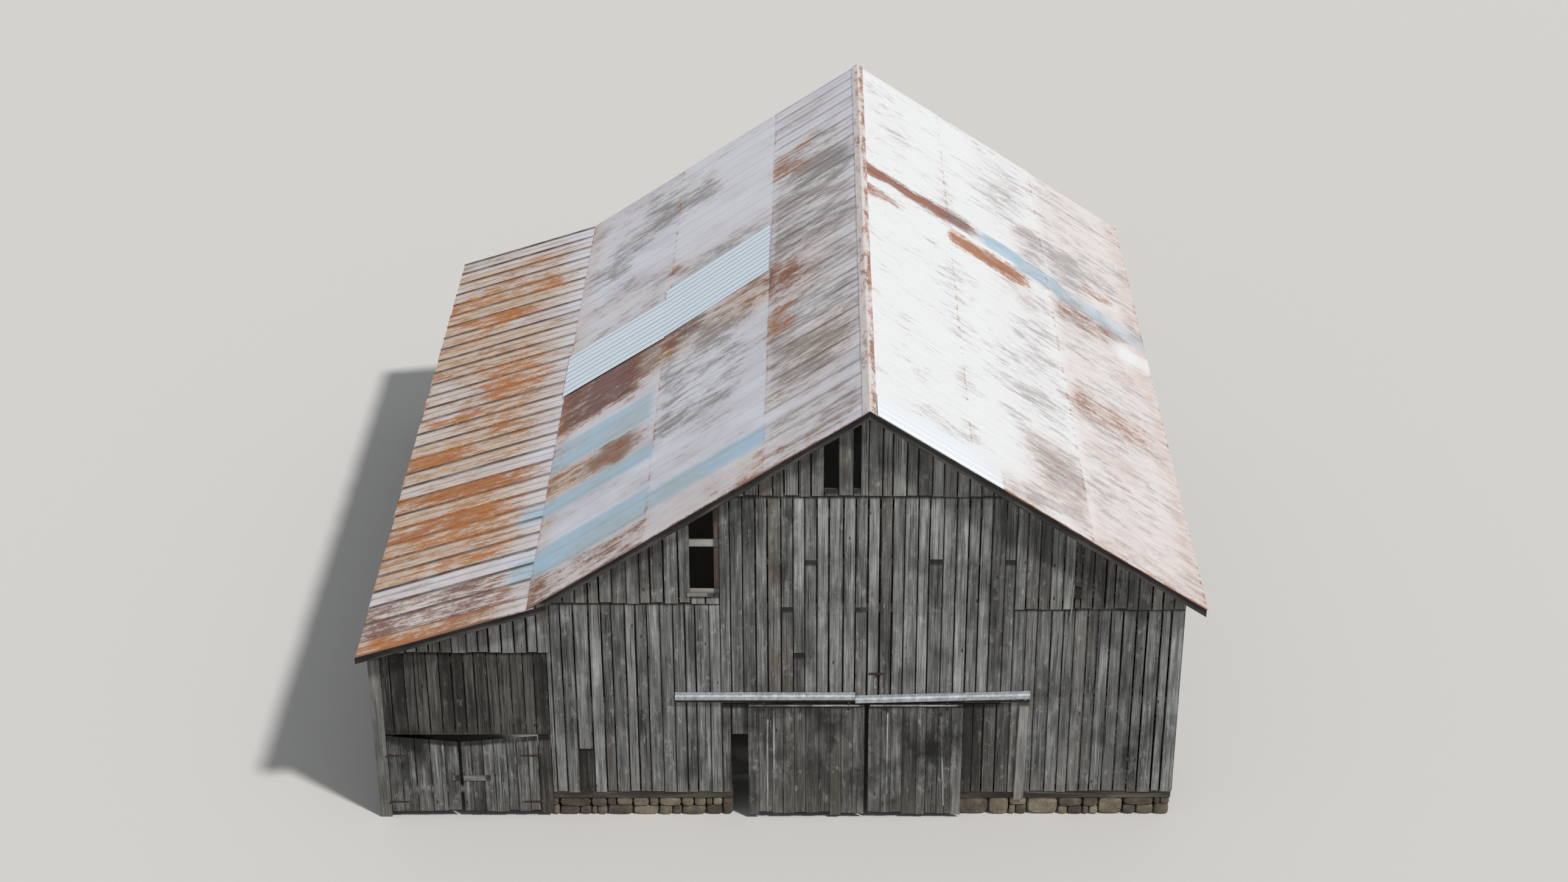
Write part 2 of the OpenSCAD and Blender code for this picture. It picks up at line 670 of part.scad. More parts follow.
// Wall boards: the lower tier lies on the frame, the upper tier laps over it
module lower_tier(points) panel(points, -wall_y, -frame_y);
module upper_tier(points) panel(points, -wall_y - board_t, -wall_y);
function rect(x0, x1, z0, z1) = [[x0, z0], [x1, z0], [x1, z1], [x0, z1]];
module front_left_boards() at_ridge() color("#7b7873")
    difference() {
        lower_tier([[-seam_x, board_z], [-bay_x, board_z], [-bay_x, left_tier_z + tier_lap],
                    [-frame_x, left_tier_z + tier_lap], [-frame_x, shed_low(frame_x)],
                    [-seam_x, shed_low(seam_x)]]);
        box([-hole_x, hole_w - hole_x], [-wall_y - 1, 1 - frame_y], [hole_z, hole_z + hole_h]);
    }
module front_right_boards() at_ridge() color("#6f6b65")
    lower_tier(rect(bay_x, half_w, board_z, right_tier_z + tier_lap));
module over_door_boards() at_ridge() color("#7b7873") {
    z = peak_tier_z + tier_lap;
    lower_tier([[-bay_x, girt_z], [bay_x, girt_z], [bay_x, rafter_low(bay_x)],
                [main_run_at(z), z], [-main_run_at(z), z], [-bay_x, rafter_low(bay_x)]]);
}
module door_side_boards() at_ridge() color("#5d5751") {
    lower_tier([[-bay_x, board_z], [-doorway_left, board_z], [-doorway_left, short_z],
                [-short_x, short_z], [-short_x, girt_z], [-bay_x, girt_z]]);
    lower_tier(rect(doorway_right, bay_x, board_z, girt_z));
}
module front_upper_boards() at_ridge() color("#77736d") {
    hay_left = bay_x + hay_w;
    upper_tier([[-frame_x, left_tier_z], [-bay_x, left_tier_z], [-bay_x, hay_z],
                [-hay_left, hay_z], [-hay_left, rafter_top(hay_left)],
                [-frame_x, rafter_top(frame_x)]]);
    difference() {
        upper_tier([[bay_x, right_tier_z], [half_w, right_tier_z], [half_w, rafter_top(half_w)],
                    [bay_x, rafter_top(bay_x)]]);
        box([break_x, break_x + break_w], [-wall_y - 2 * board_t, 0], [break_z, break_z + break_h]);
    }
}
module front_peak_boards() at_ridge() color("#7b7873")
    difference() {
        upper_tier([[-bay_x, peak_tier_z], [bay_x, peak_tier_z], [bay_x, rafter_top(bay_x)],
                    [0, rafter_top(0)], [-bay_x, rafter_top(bay_x)]]);
        box([-wide_slot_x, wide_slot_w - wide_slot_x], [-wall_y - 2 * board_t, 0],
            [slot_z, ridge_z]);
        box([-narrow_slot_x, narrow_slot_w - narrow_slot_x], [-wall_y - 2 * board_t, 0],
            [slot_z, ridge_z]);
    }

// The shed's front: boards above the doorway and beside it, and the upper tier
module shed_front_boards() at_ridge() color("#453e39") {
    lower_tier([[-shed_x, shed_door_h], [-seam_x, shed_door_h], [-seam_x, shed_lap_z],
                [-shed_run_at(shed_lap_z), shed_lap_z], [-shed_x, shed_low(shed_x)]]);
    lower_tier(rect(-shed_x, -shed_door_left, board_z, shed_door_h));
    lower_tier(rect(-shed_door_right, -seam_x, board_z, shed_door_h));
}
module shed_upper() upper_tier([[-shed_x, shed_tier_z], [-frame_x, shed_tier_z],
                                [-frame_x, shed_top(frame_x)], [-shed_x, shed_top(shed_x)]]);
module shed_upper_boards() at_ridge() color("#6f6b65") both_ends() shed_upper();

// Side and rear walls
module right_wall_boards() at_ridge() color("#6f6b65")
    box([frame_x, half_w], [-frame_y, frame_y], [board_z, rafter_low(half_w)]);
module shed_side_boards() at_ridge() color("#6f6b65")
    box([-shed_x, -shed_frame_x], [-frame_y, frame_y], [board_z, shed_low(shed_x)]);
module rear_lower_boards() at_ridge() color("#6f6b65")
    to_rear() {
        lower_tier([[-frame_x, board_z], [half_w, board_z], [half_w, left_tier_z + tier_lap],
                    [-frame_x, left_tier_z + tier_lap]]);
        lower_tier([[-shed_x, board_z], [-frame_x - joint, board_z],
                    [-frame_x - joint, shed_lap_z], [-shed_run_at(shed_lap_z), shed_lap_z],
                    [-shed_x, shed_low(shed_x)]]);
    }
module rear_upper_boards() at_ridge() color("#6f6b65")
    to_rear()
        upper_tier([[-frame_x, left_tier_z], [half_w, left_tier_z], [half_w, rafter_top(half_w)],
                    [0, rafter_top(0)], [-frame_x, rafter_top(frame_x)]]);

// Corner boards, the jamb board, the board behind the low hole and the nailed cover board
module corner_board()
    linear_extrude(shed_tier_z - tail_in)
        polygon([[-shed_x - board_t, -wall_y - board_t],
                 [corner_w - shed_x - board_t, -wall_y - board_t],
                 [corner_w - shed_x - board_t, -wall_y], [-shed_x, -wall_y],
                 [-shed_x, corner_return - wall_y], [-shed_x - board_t, corner_return - wall_y]]);
module trim_boards() at_ridge() color("#8a7f70") {
    both_ends() corner_board();
    box([-shed_door_right + leaf_gap / 2, -seam_x], [-wall_y - board_t, -wall_y],
        [leaf_z, shed_door_h]);
    box([-hole_x - hole_margin, hole_w - hole_x + hole_margin], [-frame_y, board_t - frame_y],
        [sill_z, hole_z + hole_h + hole_margin]);
    translate([cover_x, 0, cover_z]) rotate([0, cover_lean, 0])
        box([0, cover_w], [-wall_y - board_t, -wall_y], [0, cover_top_z - cover_z]);
}
module hay_opening_boards() at_ridge() color("#b7a98c") {
    x = [-bay_x - hay_w - hay_bearing, -bay_x];
    box(x, [-wall_y, -frame_y], [hay_z, hay_z + hay_sill_h]);
    box(x, [-wall_y, -frame_y], [hay_rail_z, hay_rail_z + hay_rail_h]);
}

// Door track: a flat rail on brackets, under two lengths of hood
module door_track() at_ridge() color("#8f979b") {
    y = [-wall_y - rail_out - rail_t, -wall_y - rail_out];
    step = (track_left + track_right - bracket_w) / (rail_brackets - 1);
    box([-track_left, track_right], y, [rail_z - rail_h, rail_z]);
    for (i = [0 : rail_brackets - 1]) translate([i * step - track_left, 0, 0])
        box([0, bracket_w], [y[1], -wall_y], [rail_z - rail_h, rail_z - rail_h + bracket_h]);
}
module hood(l)
    rotate([90, 0, 90]) linear_extrude(l)
        polygon([[0, hood_z], [-hood_t, hood_z], [-hood_t, hood_z - hood_t],
                 [hood_fall - hood_out, hood_z - hood_fall / 2],
                 [-hood_out, hood_z - 3 * hood_fall / 2], [-hood_out, hood_z - hood_h],
                 [hood_t - hood_out, hood_z - hood_h],
                 [hood_t - hood_out, hood_z - 3 * hood_fall / 2],
                 [hood_fall - hood_out + hood_t / 2, hood_z - hood_fall / 2 - hood_t],
                 [-hood_t, hood_z - 2 * hood_t], [-hood_t, hood_z - hood_h / 2],
                 [0, hood_z - hood_h / 2]]);
module track_hoods() at_ridge() color("#b9c2c6") {
    right_l = track_right + hood_joint_x;
    translate([-track_left, -wall_y, 0]) hood(track_left - hood_joint_x);
    translate([track_right, -wall_y, hood_z + hood_rise])
        rotate([0, -atan((hood_rise + hood_droop) / right_l), 0])
            translate([-right_l, 0, -hood_z]) hood(right_l);
}

// Sliding doors: upright boards on three ledges, hung from wheels on the rail
module sliding_door(x, w) {
    boards = [-wall_y - door_face, -wall_y - door_face + door_board_t];
    ledges = [-wall_y - door_face + door_board_t, -wall_y - door_back];
    mid_z = (door_z + door_top_z) / 2;
    box([x, x + w], boards, [door_z, door_top_z]);
    for (z = [door_z + ledge_in, mid_z, door_top_z - ledge_in])
        box([x, x + w], ledges, [z - ledge_h / 2, z + ledge_h / 2]);
}
module wheel_hanger(x) translate([x, -wall_y, wheel_z]) {
    strap_y = -door_face - strap_t;
    wheel_y = -wheel_mid - wheel_w / 2;
    translate([0, strap_y + strap_t, 0]) rotate([90, 0, 0]) linear_extrude(strap_t) {
        circle(strap_w / 2);
        translate([-strap_w / 2, door_top_z - strap_l - wheel_z])
            square([strap_w, wheel_z - door_top_z + strap_l]);
    }
    translate([0, wheel_y + wheel_w, 0]) rotate([90, 0, 0])
        cylinder(r = axle_r, h = wheel_y + wheel_w - strap_y - strap_t);
    translate([0, wheel_y + wheel_w, 0]) rotate([90, 0, 0]) rotate_extrude()
        polygon([[axle_r + run_gap, 0], [wheel_r + flange_h, 0],
                 [wheel_r + flange_h, (wheel_w - rail_t) / 2 - 2 * run_gap],
                 [wheel_r, (wheel_w - rail_t) / 2 - 2 * run_gap],
                 [wheel_r, (wheel_w + rail_t) / 2 + 2 * run_gap],
                 [wheel_r + flange_h, (wheel_w + rail_t) / 2 + 2 * run_gap],
                 [wheel_r + flange_h, wheel_w], [axle_r + run_gap, wheel_w]]);
}
module left_door() at_ridge() color("#77716a")
    sliding_door(left_door_x - left_door_w, left_door_w);
module right_door() at_ridge() color("#77716a") sliding_door(right_door_x, right_door_w);
module left_hangers() at_ridge() color("#4d4742") {
    wheel_hanger(left_door_x - left_door_w + hanger_in);
    wheel_hanger(left_door_x - hanger_in);
}
module right_hangers() at_ridge() color("#4d4742") {
    wheel_hanger(right_door_x + hanger_in);
    wheel_hanger(right_door_x + right_door_w - hanger_in);
}

// Shed doors: ledged leaves that have sagged towards each other, on strap hinges
module leaf(w, cross_l) {
    top = shed_door_h - leaf_top_gap;
    front = -wall_y - leaf_face;
    panel([[0, leaf_z], [w, leaf_z], [w, top - leaf_sag], [0, top]], front, front + leaf_board_t);
    for (z = hinge_zs)
        box([0, w], [front + leaf_board_t, front + leaf_t], [z - ledge_h / 2, z + ledge_h / 2]);
    box([w - cross_l, w], [front - cross_t, front], [cross_z - cross_h / 2, cross_z + cross_h / 2]);
}
module strap_hinge()
    difference() {
        union() {
            translate([0, pin_out - leaf_face, 0]) rotate([90, 0, 0]) linear_extrude(hinge_t)
                polygon([[0, -hinge_w / 2], [hinge_l, -hinge_tip_w / 2],
                         [hinge_l, hinge_tip_w / 2], [0, hinge_w / 2]]);
            translate([0, 0, -hinge_w / 2]) cylinder(r = knuckle_r, h = hinge_w);
        }
        translate([0, 0, -hinge_w]) cylinder(r = pin_r + run_gap, h = 2 * hinge_w);
    }
module strap_hinges(x, turn)
    for (z = hinge_zs) translate([x, -wall_y - pin_out, z]) rotate([0, turn, 0]) strap_hinge();
module pintle(z) translate([-leaf_gap, -wall_y - pin_out, z]) {
    foot = -hinge_w / 2 - 2 * run_gap - 2 * pin_r;
    wall = pin_out - leaf_face;
    translate([0, 0, foot]) cylinder(r = pin_r, h = hinge_w / 2 + pin_r - foot);
    box([-pin_r / 2, pin_r / 2], [0, wall - pintle_t], [foot, foot + 2 * pin_r]);
    box([-pintle_w, pin_r / 2], [wall - pintle_t, wall], [foot, foot + 2 * pin_r]);
}
module at_left_leaf() translate([-left_leaf_x, 0, 0]) children();
module at_right_leaf() translate([-right_leaf_x, 0, 0]) to_left() children();
module left_leaf() at_ridge() color("#76726c") at_left_leaf() leaf(left_leaf_w, cross_left);
module right_leaf() at_ridge() color("#76726c") at_right_leaf() leaf(right_leaf_w, cross_right);
module left_strap_hinges() at_ridge() color("#3e2f28") strap_hinges(-shed_door_left, 0);
module right_strap_hinges() at_ridge() color("#3e2f28") strap_hinges(-shed_door_right, 180);
module pintles() at_ridge() color("#3e2f28")
    for (z = hinge_zs) {
        at_left_leaf() pintle(z);
        at_right_leaf() pintle(z);
    }

foundation();
sills();
posts();
door_jambs();
door_headers();
wall_girts();
tie_beams();
knee_braces();
plates();
shed_ledger();
ridge_board();
main_rafters();
shed_rafters();
roof_lath();
rake_boards();
top_sheets();
middle_sheets();
low_sheets();
shed_sheets();
ridge_cap();
front_left_boards();
front_right_boards();
over_door_boards();
door_side_boards();
front_upper_boards();
front_peak_boards();
shed_front_boards();
shed_upper_boards();
right_wall_boards();
shed_side_boards();
rear_lower_boards();
rear_upper_boards();
trim_boards();
hay_opening_boards();
door_track();
track_hoods();
left_door();
left_hangers();
right_door();
right_hangers();
left_leaf();
left_strap_hinges();
right_leaf();
right_strap_hinges();
pintles();
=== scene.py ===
import math
import random
from functools import partial

import bpy
from mathutils import Matrix, Vector


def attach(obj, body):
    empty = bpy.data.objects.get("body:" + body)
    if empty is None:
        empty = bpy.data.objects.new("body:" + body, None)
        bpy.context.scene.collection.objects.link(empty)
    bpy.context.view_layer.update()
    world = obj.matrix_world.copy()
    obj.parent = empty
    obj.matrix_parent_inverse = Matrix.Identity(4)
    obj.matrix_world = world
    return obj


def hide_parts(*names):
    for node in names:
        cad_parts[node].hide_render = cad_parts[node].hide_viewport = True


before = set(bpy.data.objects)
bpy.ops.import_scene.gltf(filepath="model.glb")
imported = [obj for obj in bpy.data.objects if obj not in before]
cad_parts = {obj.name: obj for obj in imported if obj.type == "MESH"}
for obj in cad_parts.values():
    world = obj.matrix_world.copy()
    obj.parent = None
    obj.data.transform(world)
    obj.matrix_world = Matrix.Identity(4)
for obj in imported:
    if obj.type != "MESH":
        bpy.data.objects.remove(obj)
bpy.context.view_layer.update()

# The barn's main measures, the same as in the solids; x is counted from the ridge
barn = {
    "ridgeX": 1.715,
    "wallY": 8.75,
    "halfWidth": 6.27,
    "frameX": 6.245,        # outer face of the frame, where the boards start
    "shedX": 9.85,
    "top": 9.6,
    "mainSlope": 0.66,
    "shedSlope": 0.32,
    "roofHalf": 9.15,
    "roofEdge": 6.66,       # where the main slopes' sheets end
    "rafter": 0.15,
    "lath": 0.025,
    "sheet": 0.006,
    "rib": 0.016,
    "shedDrop": 0.0008,     # the shed's sheets start this far under the main lath
}
mainAngle = math.atan(barn["mainSlope"])
shedAngle = math.atan(barn["shedSlope"])
covering = barn["lath"] + barn["sheet"]
apex = barn["top"] - (covering + barn["rib"]) / math.cos(mainAngle)
kick = barn["roofEdge"] - (barn["sheet"] + barn["rib"]) * math.sin(mainAngle)


def rafterTop(x):
    return apex - barn["mainSlope"] * abs(x)


def rafterLow(x):
    return rafterTop(x) - barn["rafter"] / math.cos(mainAngle)


def shedTop(x):
    start = rafterTop(kick) + barn["lath"] / math.cos(mainAngle) - barn["shedDrop"]
    return start - covering / math.cos(shedAngle) - barn["shedSlope"] * (abs(x) - kick)


def shedLow(x):
    return shedTop(x) - barn["rafter"] / math.cos(shedAngle)


def held(value):
    return min(1.0, max(0.0, value))


def linear(hexColour):
    parts = [int(hexColour[i:i + 2], 16) / 255 for i in (1, 3, 5)]
    return [c / 12.92 if c <= 0.04045 else ((c + 0.055) / 1.055) ** 2.4 for c in parts] + [1.0]


# Short names for the nodes: Blender's name, the sockets that are filled in order, the output
# that is handed on (None for all of them), and the settings that the short name stands for
inOrder = range(5)
kinds = {
    "map": ("ShaderNodeMapRange", inOrder, 0, {}),
    "ease": ("ShaderNodeMapRange", inOrder, 0, {"interpolation_type": "SMOOTHSTEP"}),
    "mix": ("ShaderNodeMix", (0, 6, 7), 2, {"data_type": "RGBA"}),
    "ramp": ("ShaderNodeValToRGB", inOrder, 0, {}),
    "curve": ("ShaderNodeFloatCurve", ("Value",), 0, {}),
    "noise": ("ShaderNodeTexNoise", ("Vector", "Scale", "Detail", "Roughness"), 0, {}),
    "cells": ("ShaderNodeTexVoronoi", ("Vector", "Scale"), None, {}),
    "bump": ("ShaderNodeBump", ("Strength", "Distance", "Height"), 0, {}),
    "surface": ("ShaderNodeBsdfPrincipled", (), 0, {}),
    "materialOut": ("ShaderNodeOutputMaterial", ("Surface",), None, {}),
    "join": ("ShaderNodeCombineXYZ", inOrder, 0, {}),
    "parts": ("ShaderNodeSeparateXYZ", inOrder, None, {}),
    "scaled": ("ShaderNodeVectorMath", (0, "Scale"), 0, {"operation": "SCALE"}),
    "dot": ("ShaderNodeVectorMath", inOrder, 1, {"operation": "DOT_PRODUCT"}),
    "turned": ("ShaderNodeVectorRotate", ("Vector", "Rotation"), 0,
               {"rotation_type": "EULER_XYZ"}),
    "objectPlace": ("ShaderNodeTexCoord", (), 3, {}),
    "skyPlace": ("ShaderNodeTexCoord", (), 0, {}),
    "vectorField": ("ShaderNodeAttribute", (), 1, {}),
    "field": ("ShaderNodeAttribute", (), 2, {}),
    "rays": ("ShaderNodeLightPath", (), None, {}),
    "sky": ("ShaderNodeBackground", ("Color", "Strength"), 0, {}),
    "either": ("ShaderNodeMixShader", inOrder, 0, {}),
    "worldOut": ("ShaderNodeOutputWorld", ("Surface",), None, {}),
    "groupIn": ("NodeGroupInput", (), None, {}),
    "groupOut": ("NodeGroupOutput", inOrder, None, {}),
    "cube": ("GeometryNodeMeshCube", ("Size", "Vertices X", "Vertices Y", "Vertices Z"), 0, {}),
    "grid": ("GeometryNodeMeshGrid", ("Size X", "Size Y", "Vertices X", "Vertices Y"), 0, {}),
    "cylinder": ("GeometryNodeMeshCylinder", ("Vertices", "Radius", "Depth"), 0, {}),
    "shifted": ("GeometryNodeTransform", ("Geometry", "Translation"), 0, {}),
    "position": ("GeometryNodeInputPosition", (), 0, {}),
    "known": ("GeometryNodeInputNamedAttribute", ("Name",), 0, {"data_type": "FLOAT_VECTOR"}),
    "store": ("GeometryNodeStoreNamedAttribute", ("Geometry", "Name", "Value"), 0,
              {"data_type": "FLOAT_VECTOR", "domain": "POINT"}),
    "forget": ("GeometryNodeRemoveAttribute", ("Geometry", "Name"), 0, {}),
    "facing": ("FunctionNodeAlignRotationToVector", ("Vector",), 0, {"axis": "Z"}),
    "copies": ("GeometryNodeInstanceOnPoints", ("Points", "Instance", "Rotation"), 0, {}),
    "realize": ("GeometryNodeRealizeInstances", inOrder, 0, {}),
    "moved": ("GeometryNodeSetPosition", ("Geometry", "Position"), 0, {}),
    "coated": ("GeometryNodeSetMaterial", ("Geometry", "Material"), 0, {}),
}
sums = {"plus": "ADD", "minus": "SUBTRACT", "times": "MULTIPLY", "timesPlus": "MULTIPLY_ADD"}
for short, operation in sums.items():
    kinds["vector " + short] = ("ShaderNodeVectorMath", inOrder, 0, {"operation": operation})
sums.update({"over": "DIVIDE", "larger": "MAXIMUM", "above": "GREATER_THAN",
             "below": "LESS_THAN", "absolute": "ABSOLUTE", "fraction": "FRACT"})
for short, operation in sums.items():
    kinds[short] = ("ShaderNodeMath", inOrder, 0, {"operation": operation})


def put(tree, kind, *values, sockets=None, out=None, stops=(), bends=(), **settings):
    family, order, handed, fixed = kinds[kind]
    node = tree.nodes.new(family)
    for key, value in {**fixed, **settings}.items():
        setattr(node, key, value)
    if stops:
        ramp = node.color_ramp
        while len(ramp.elements) < len(stops):
            ramp.elements.new(1.0)
        for element, (position, colour) in zip(ramp.elements, stops):
            element.position = position
            element.color = linear(colour)
    if bends:
        points = node.mapping.curves[0].points
        while len(points) < len(bends):
            points.new(0.5, 0.5)
        for point, bend in zip(points, bends):
            point.location = bend
            point.handle_type = "VECTOR"
        node.mapping.update()
    for key, value in zip(sockets or order, values):
        if isinstance(value, bpy.types.NodeSocket):
            tree.links.new(value, node.inputs[key])
        else:
            isColour = isinstance(value, str) and value.startswith("#")
            node.inputs[key].default_value = linear(value) if isColour else value
    out = handed if out is None else out
    return node.outputs if out is None else node.outputs[out]


def product(add, first, *others):
    for other in others:
        first = add("times", first, other)
    return first


def blend(add, parts, start=0.0):
    total = start
    for field, weight in parts:
        total = add("timesPlus", field, weight, total)
    return total


def layered(add, colour, *layers):
    for amount, shade in layers:
        colour = add("mix", amount, colour, shade)
    return colour


def cloud(add, place, scale, detail, low, high, rough=0.6):
    noise = add("noise", add("vector times", place, scale), 1.0, detail, rough)
    return add("map", noise, low, high)


# materials

def newMaterial(name):
    material = bpy.data.materials.new(name)
    material.use_nodes = True
    material.node_tree.nodes.clear()
    return material, partial(put, material.node_tree)


def closeMaterial(add, material, bump=None, **looks):
    names = {"colour": "Base Color", "rough": "Roughness", "metal": "Metallic",
             "gloss": "Specular IOR Level", "normal": "Normal"}
    if bump:
        looks["normal"] = add("bump", *bump)
    add("materialOut", add("surface", *looks.values(), sockets=[names[key] for key in looks]))
    return material


# Old pine boards left bare: silver-grey from sun and rain, soft grain, dark checks and knots
greyPine = {
    "dark": "#232322", "mid": "#797a79", "light": "#c6c8c7", "brown": "#675e54",
    "spread": 0.36, "foot": "#8f8b81", "lichen": 0.8, "rough": 0.86, "damp": 0.55,
}
# The doors' boards: greyer-brown and blotched with damp
doorPine = dict(greyPine, mid="#6b6a67", brown="#575048", spread=0.3, damp=0.95)
# The same boards where soot and wet have turned them brown-black, with bleached streaks
stainedPine = {
    "dark": "#171614", "mid": "#363431", "light": "#7f7c77", "brown": "#3d352f",
    "spread": 0.4, "foot": "#4e4a44", "lichen": 1.0, "rough": 0.84, "damp": 0.6,
}
# Younger boards, still a little straw-brown under their grey skin
palePine = {
    "dark": "#454440", "mid": "#7d7c78", "light": "#b5b3ad", "brown": "#8b7d67",
    "spread": 0.4, "foot": "#857e71", "lichen": 0.2, "rough": 0.8, "damp": 0.2,
}
sootColour = "#1c1a18"


def boardMaterial(name, look):
    material, add = newMaterial(name)
    place = add("vectorField", attribute_name="boardPos")
    shade, warmth, dirt = add("parts", add("vectorField", attribute_name="boardTone"))
    aside, up, down = add("parts", add("vectorField", attribute_name="boardRun"))
    dark, light = look["dark"], look["light"]
    # grain 12 mm wide drawn out a metre, fibres 4 mm, streaks 80 mm, blotches half a metre
    grain = cloud(add, place, (80, 80, 1.1), 4, 0.36, 0.66)
    fibre = cloud(add, place, (260, 260, 6), 2, 0.3, 0.7)
    streak = cloud(add, place, (13, 13, 0.6), 3, 0.36, 0.66)
    blotch = cloud(add, place, (2.4, 2.4, 1.1), 4, 0.38, 0.64)
    level = blend(add, [(grain, 0.3), (fibre, 0.12), (streak, 0.28), (blotch, 0.16),
                        (shade, look["spread"])])
    colour = add("ramp", level, stops=[(0.18, dark), (0.56, look["mid"]), (1.0, light)])
    # pale crusts a hand wide, long dark water stains, and a splashed and bleached foot
    crust = cloud(add, place, (7, 7, 3.5), 6, 0.56, 0.66, 0.7)
    stain = cloud(add, place, (5, 5, 0.45), 5, 0.54, 0.68)
    foot = add("ease", up, 0.6, 0.02, 0.0, 0.5)
    # checks: dark hair cracks along the grain, knots about 30 mm across, and dark worn edges
    check = cloud(add, place, (46, 46, 0.42), 2, 0.61, 0.67)
    cells = add("cells", add("vector times", place, (5.2, 5.2, 2.1)), 1.0)
    chosen = add("above", add("parts", cells["Color"])[0], 0.6)
    knot = add("times", add("ease", cells["Distance"], 0.13, 0.07), chosen)
    edge = add("times", add("ease", add("absolute", aside), 0.41, 0.5), streak)
    marks = add("times", add("larger", add("larger", check, knot), edge), 0.8)
    # painted shade, with some damp: the top of a board is darkened where the lap of the next tier
    # or the roof shades it
    head = add("ease", down, 0.14, 0.07, 0.0, 0.88)
    # damp and soot spread over several boards at once, in clouds a metre wide
    wall = add("objectPlace")
    damp = cloud(add, wall, (1.1, 1.1, 0.7), 5, 0.5, 0.68, 0.62)
    bleach = cloud(add, wall, (1.9, 1.9, 1.0), 5, 0.56, 0.7, 0.6)
    colour = layered(
        add, colour, (product(add, blotch, warmth), look["brown"]),
        (product(add, crust, fibre, look["lichen"]), light),
        (product(add, stain, 0.55), dark),
        (product(add, foot, grain), look["foot"]),
        (marks, dark),
        (head, dark),
        (product(add, damp, look["damp"]), dark),
        (product(add, bleach, grain, 0.4), light),
        (product(add, dirt, 0.75), sootColour))
    height = blend(add, [(grain, 0.35), (fibre, 0.35), (marks, -1.0)])
    return closeMaterial(add, material, colour=colour, bump=(0.5, 0.006, height),
                         rough=look["rough"], gloss=0.25)


# Galvanised sheet iron, decades old: chalky grey-lilac zinc, brown run marks, rust at the laps
sheetIron = {
    "pale": "#dfe1ea", "grey": "#858383", "lilac": "#c2bcc4", "brown": "#847262",
    "tan": "#c6a88a", "smoke": "#aca7a7", "blue": "#98c1da", "steel": "#9cb5bc",
    # line is the painted shade along new sheets' ribs; lap is the lap lines' dirt and painted
    # shade
    "fresh": "#e6f2fb", "line": "#8a9fb2", "blush": "#cdb6ae", "white": "#eaebec",
    "rustLight": "#c69559", "rust": "#b06732", "rustDark": "#703e26",
    "red": "#693f3a", "dusk": "#8a6a62", "lap": "#4c3e36",
}


def sheetMaterial(name, look):
    material, add = newMaterial(name)
    place = add("vectorField", attribute_name="sheetPos")
    across, down, own = add("parts", add("vectorField", attribute_name="sheetCoat"))
    rust, blue, fresh = add("parts", add("vectorField", attribute_name="sheetTone"))
    grime, lapDirtAndShade, white = add("parts", add("vectorField", attribute_name="sheetWear"))
    red = add("field", attribute_name="sheetRed")
    wash = add("field", attribute_name="sheetWash")
    moved = add("vector timesPlus", add("join", own, own), (9.0, 5.0, 0.0), place)
    # run marks 100 mm wide and a metre long, hair streaks, clouds of a metre, dashes, speckle
    runs = cloud(add, moved, (0.9, 10, 1), 5, 0.36, 0.64)
    hair = cloud(add, moved, (2.6, 40, 1), 4, 0.34, 0.66)
    clouds = cloud(add, place, (0.6, 0.95, 1), 5, 0.38, 0.62)
    dashes = cloud(add, place, (1.9, 5.5, 1), 7, 0.4, 0.62, 0.68)
    speckle = cloud(add, place, (12, 24, 1), 5, 0.35, 0.65)
    level = blend(add, [(runs, 0.24), (hair, 0.2), (clouds, 0.36), (dashes, 0.34),
                        (speckle, 0.14), (grime, 1.0)], -0.74)
    worn = add("ease", level, 0.0, 0.5, 0.0, 1.0)
    faint = add("minus", 1.0, white)
    uneven = add("times", wash, blend(add, [(dashes, 0.6), (hair, 0.35), (speckle, 0.2)], 0.3))
    pale = layered(add, look["pale"], (product(add, clouds, 0.6, faint), look["lilac"]),
                   (white, look["white"]),
                   (uneven, add("mix", white, look["tan"], look["blush"])))
    dirty = layered(add, look["grey"], (wash, look["brown"]), (white, look["smoke"]))
    blued = layered(add, look["blue"], (clouds, look["steel"]),
                    (product(add, hair, 0.4), look["pale"]))
    # laps and the crimp in the middle of a sheet gather dirt, and the dark line at the laps is
    # also painted shade of the step; new sheets get a painted shade line along each rib
    bare = add("minus", 1.0, fresh)
    lap = add("ease", across, 0.24, 0.08)
    middle = add("absolute", add("minus", across, 0.5))
    crimp = add("times", add("ease", middle, 0.08, 0.02), 0.4)
    line = product(add, add("larger", lap, crimp), lapDirtAndShade,
                   blend(add, [(runs, 0.35), (dashes, 0.25)], 0.55), bare)
    ribShade = add("ease", across, 0.14, 0.05, 0.0, 0.8)
    # rust eats in where the tone says, in fingers down the slope, and at the feet of the sheets
    foot = add("ease", down, 0.96, 0.995, 0.0, 0.4)
    amount = add("larger", rust, add("times", foot, bare))
    mixed = blend(add, [(runs, 0.2), (dashes, 0.36), (clouds, 0.22), (speckle, 0.26),
                        (amount, 1.0)], -0.79)
    rusted = add("times", add("ease", mixed, 0.0, 0.5), 0.92)
    shades = blend(add, [(runs, 0.3), (speckle, 0.35), (hair, 0.35)])
    rustColour = add("ramp", shades, stops=[
        (0.1, look["rustDark"]), (0.45, look["rust"]), (0.95, look["rustLight"])])
    rustColour = add("mix", red, rustColour, add("mix", runs, look["red"], look["dusk"]))
    colour = layered(
        add, pale, (product(add, worn, 0.85), dirty),
        (product(add, blue, 0.92), blued),
        (line, look["lap"]),
        (fresh, add("mix", ribShade, look["fresh"], look["line"])),
        (rusted, rustColour))
    height = blend(add, [(speckle, 0.6), (hair, 0.4)])
    return closeMaterial(add, material, colour=colour, bump=(0.2, 0.004, height),
                         rough=add("map", rusted, 0.0, 1.0, 0.5, 0.9),
                         metal=add("map", rusted, 0.0, 1.0, 0.3, 0.0))


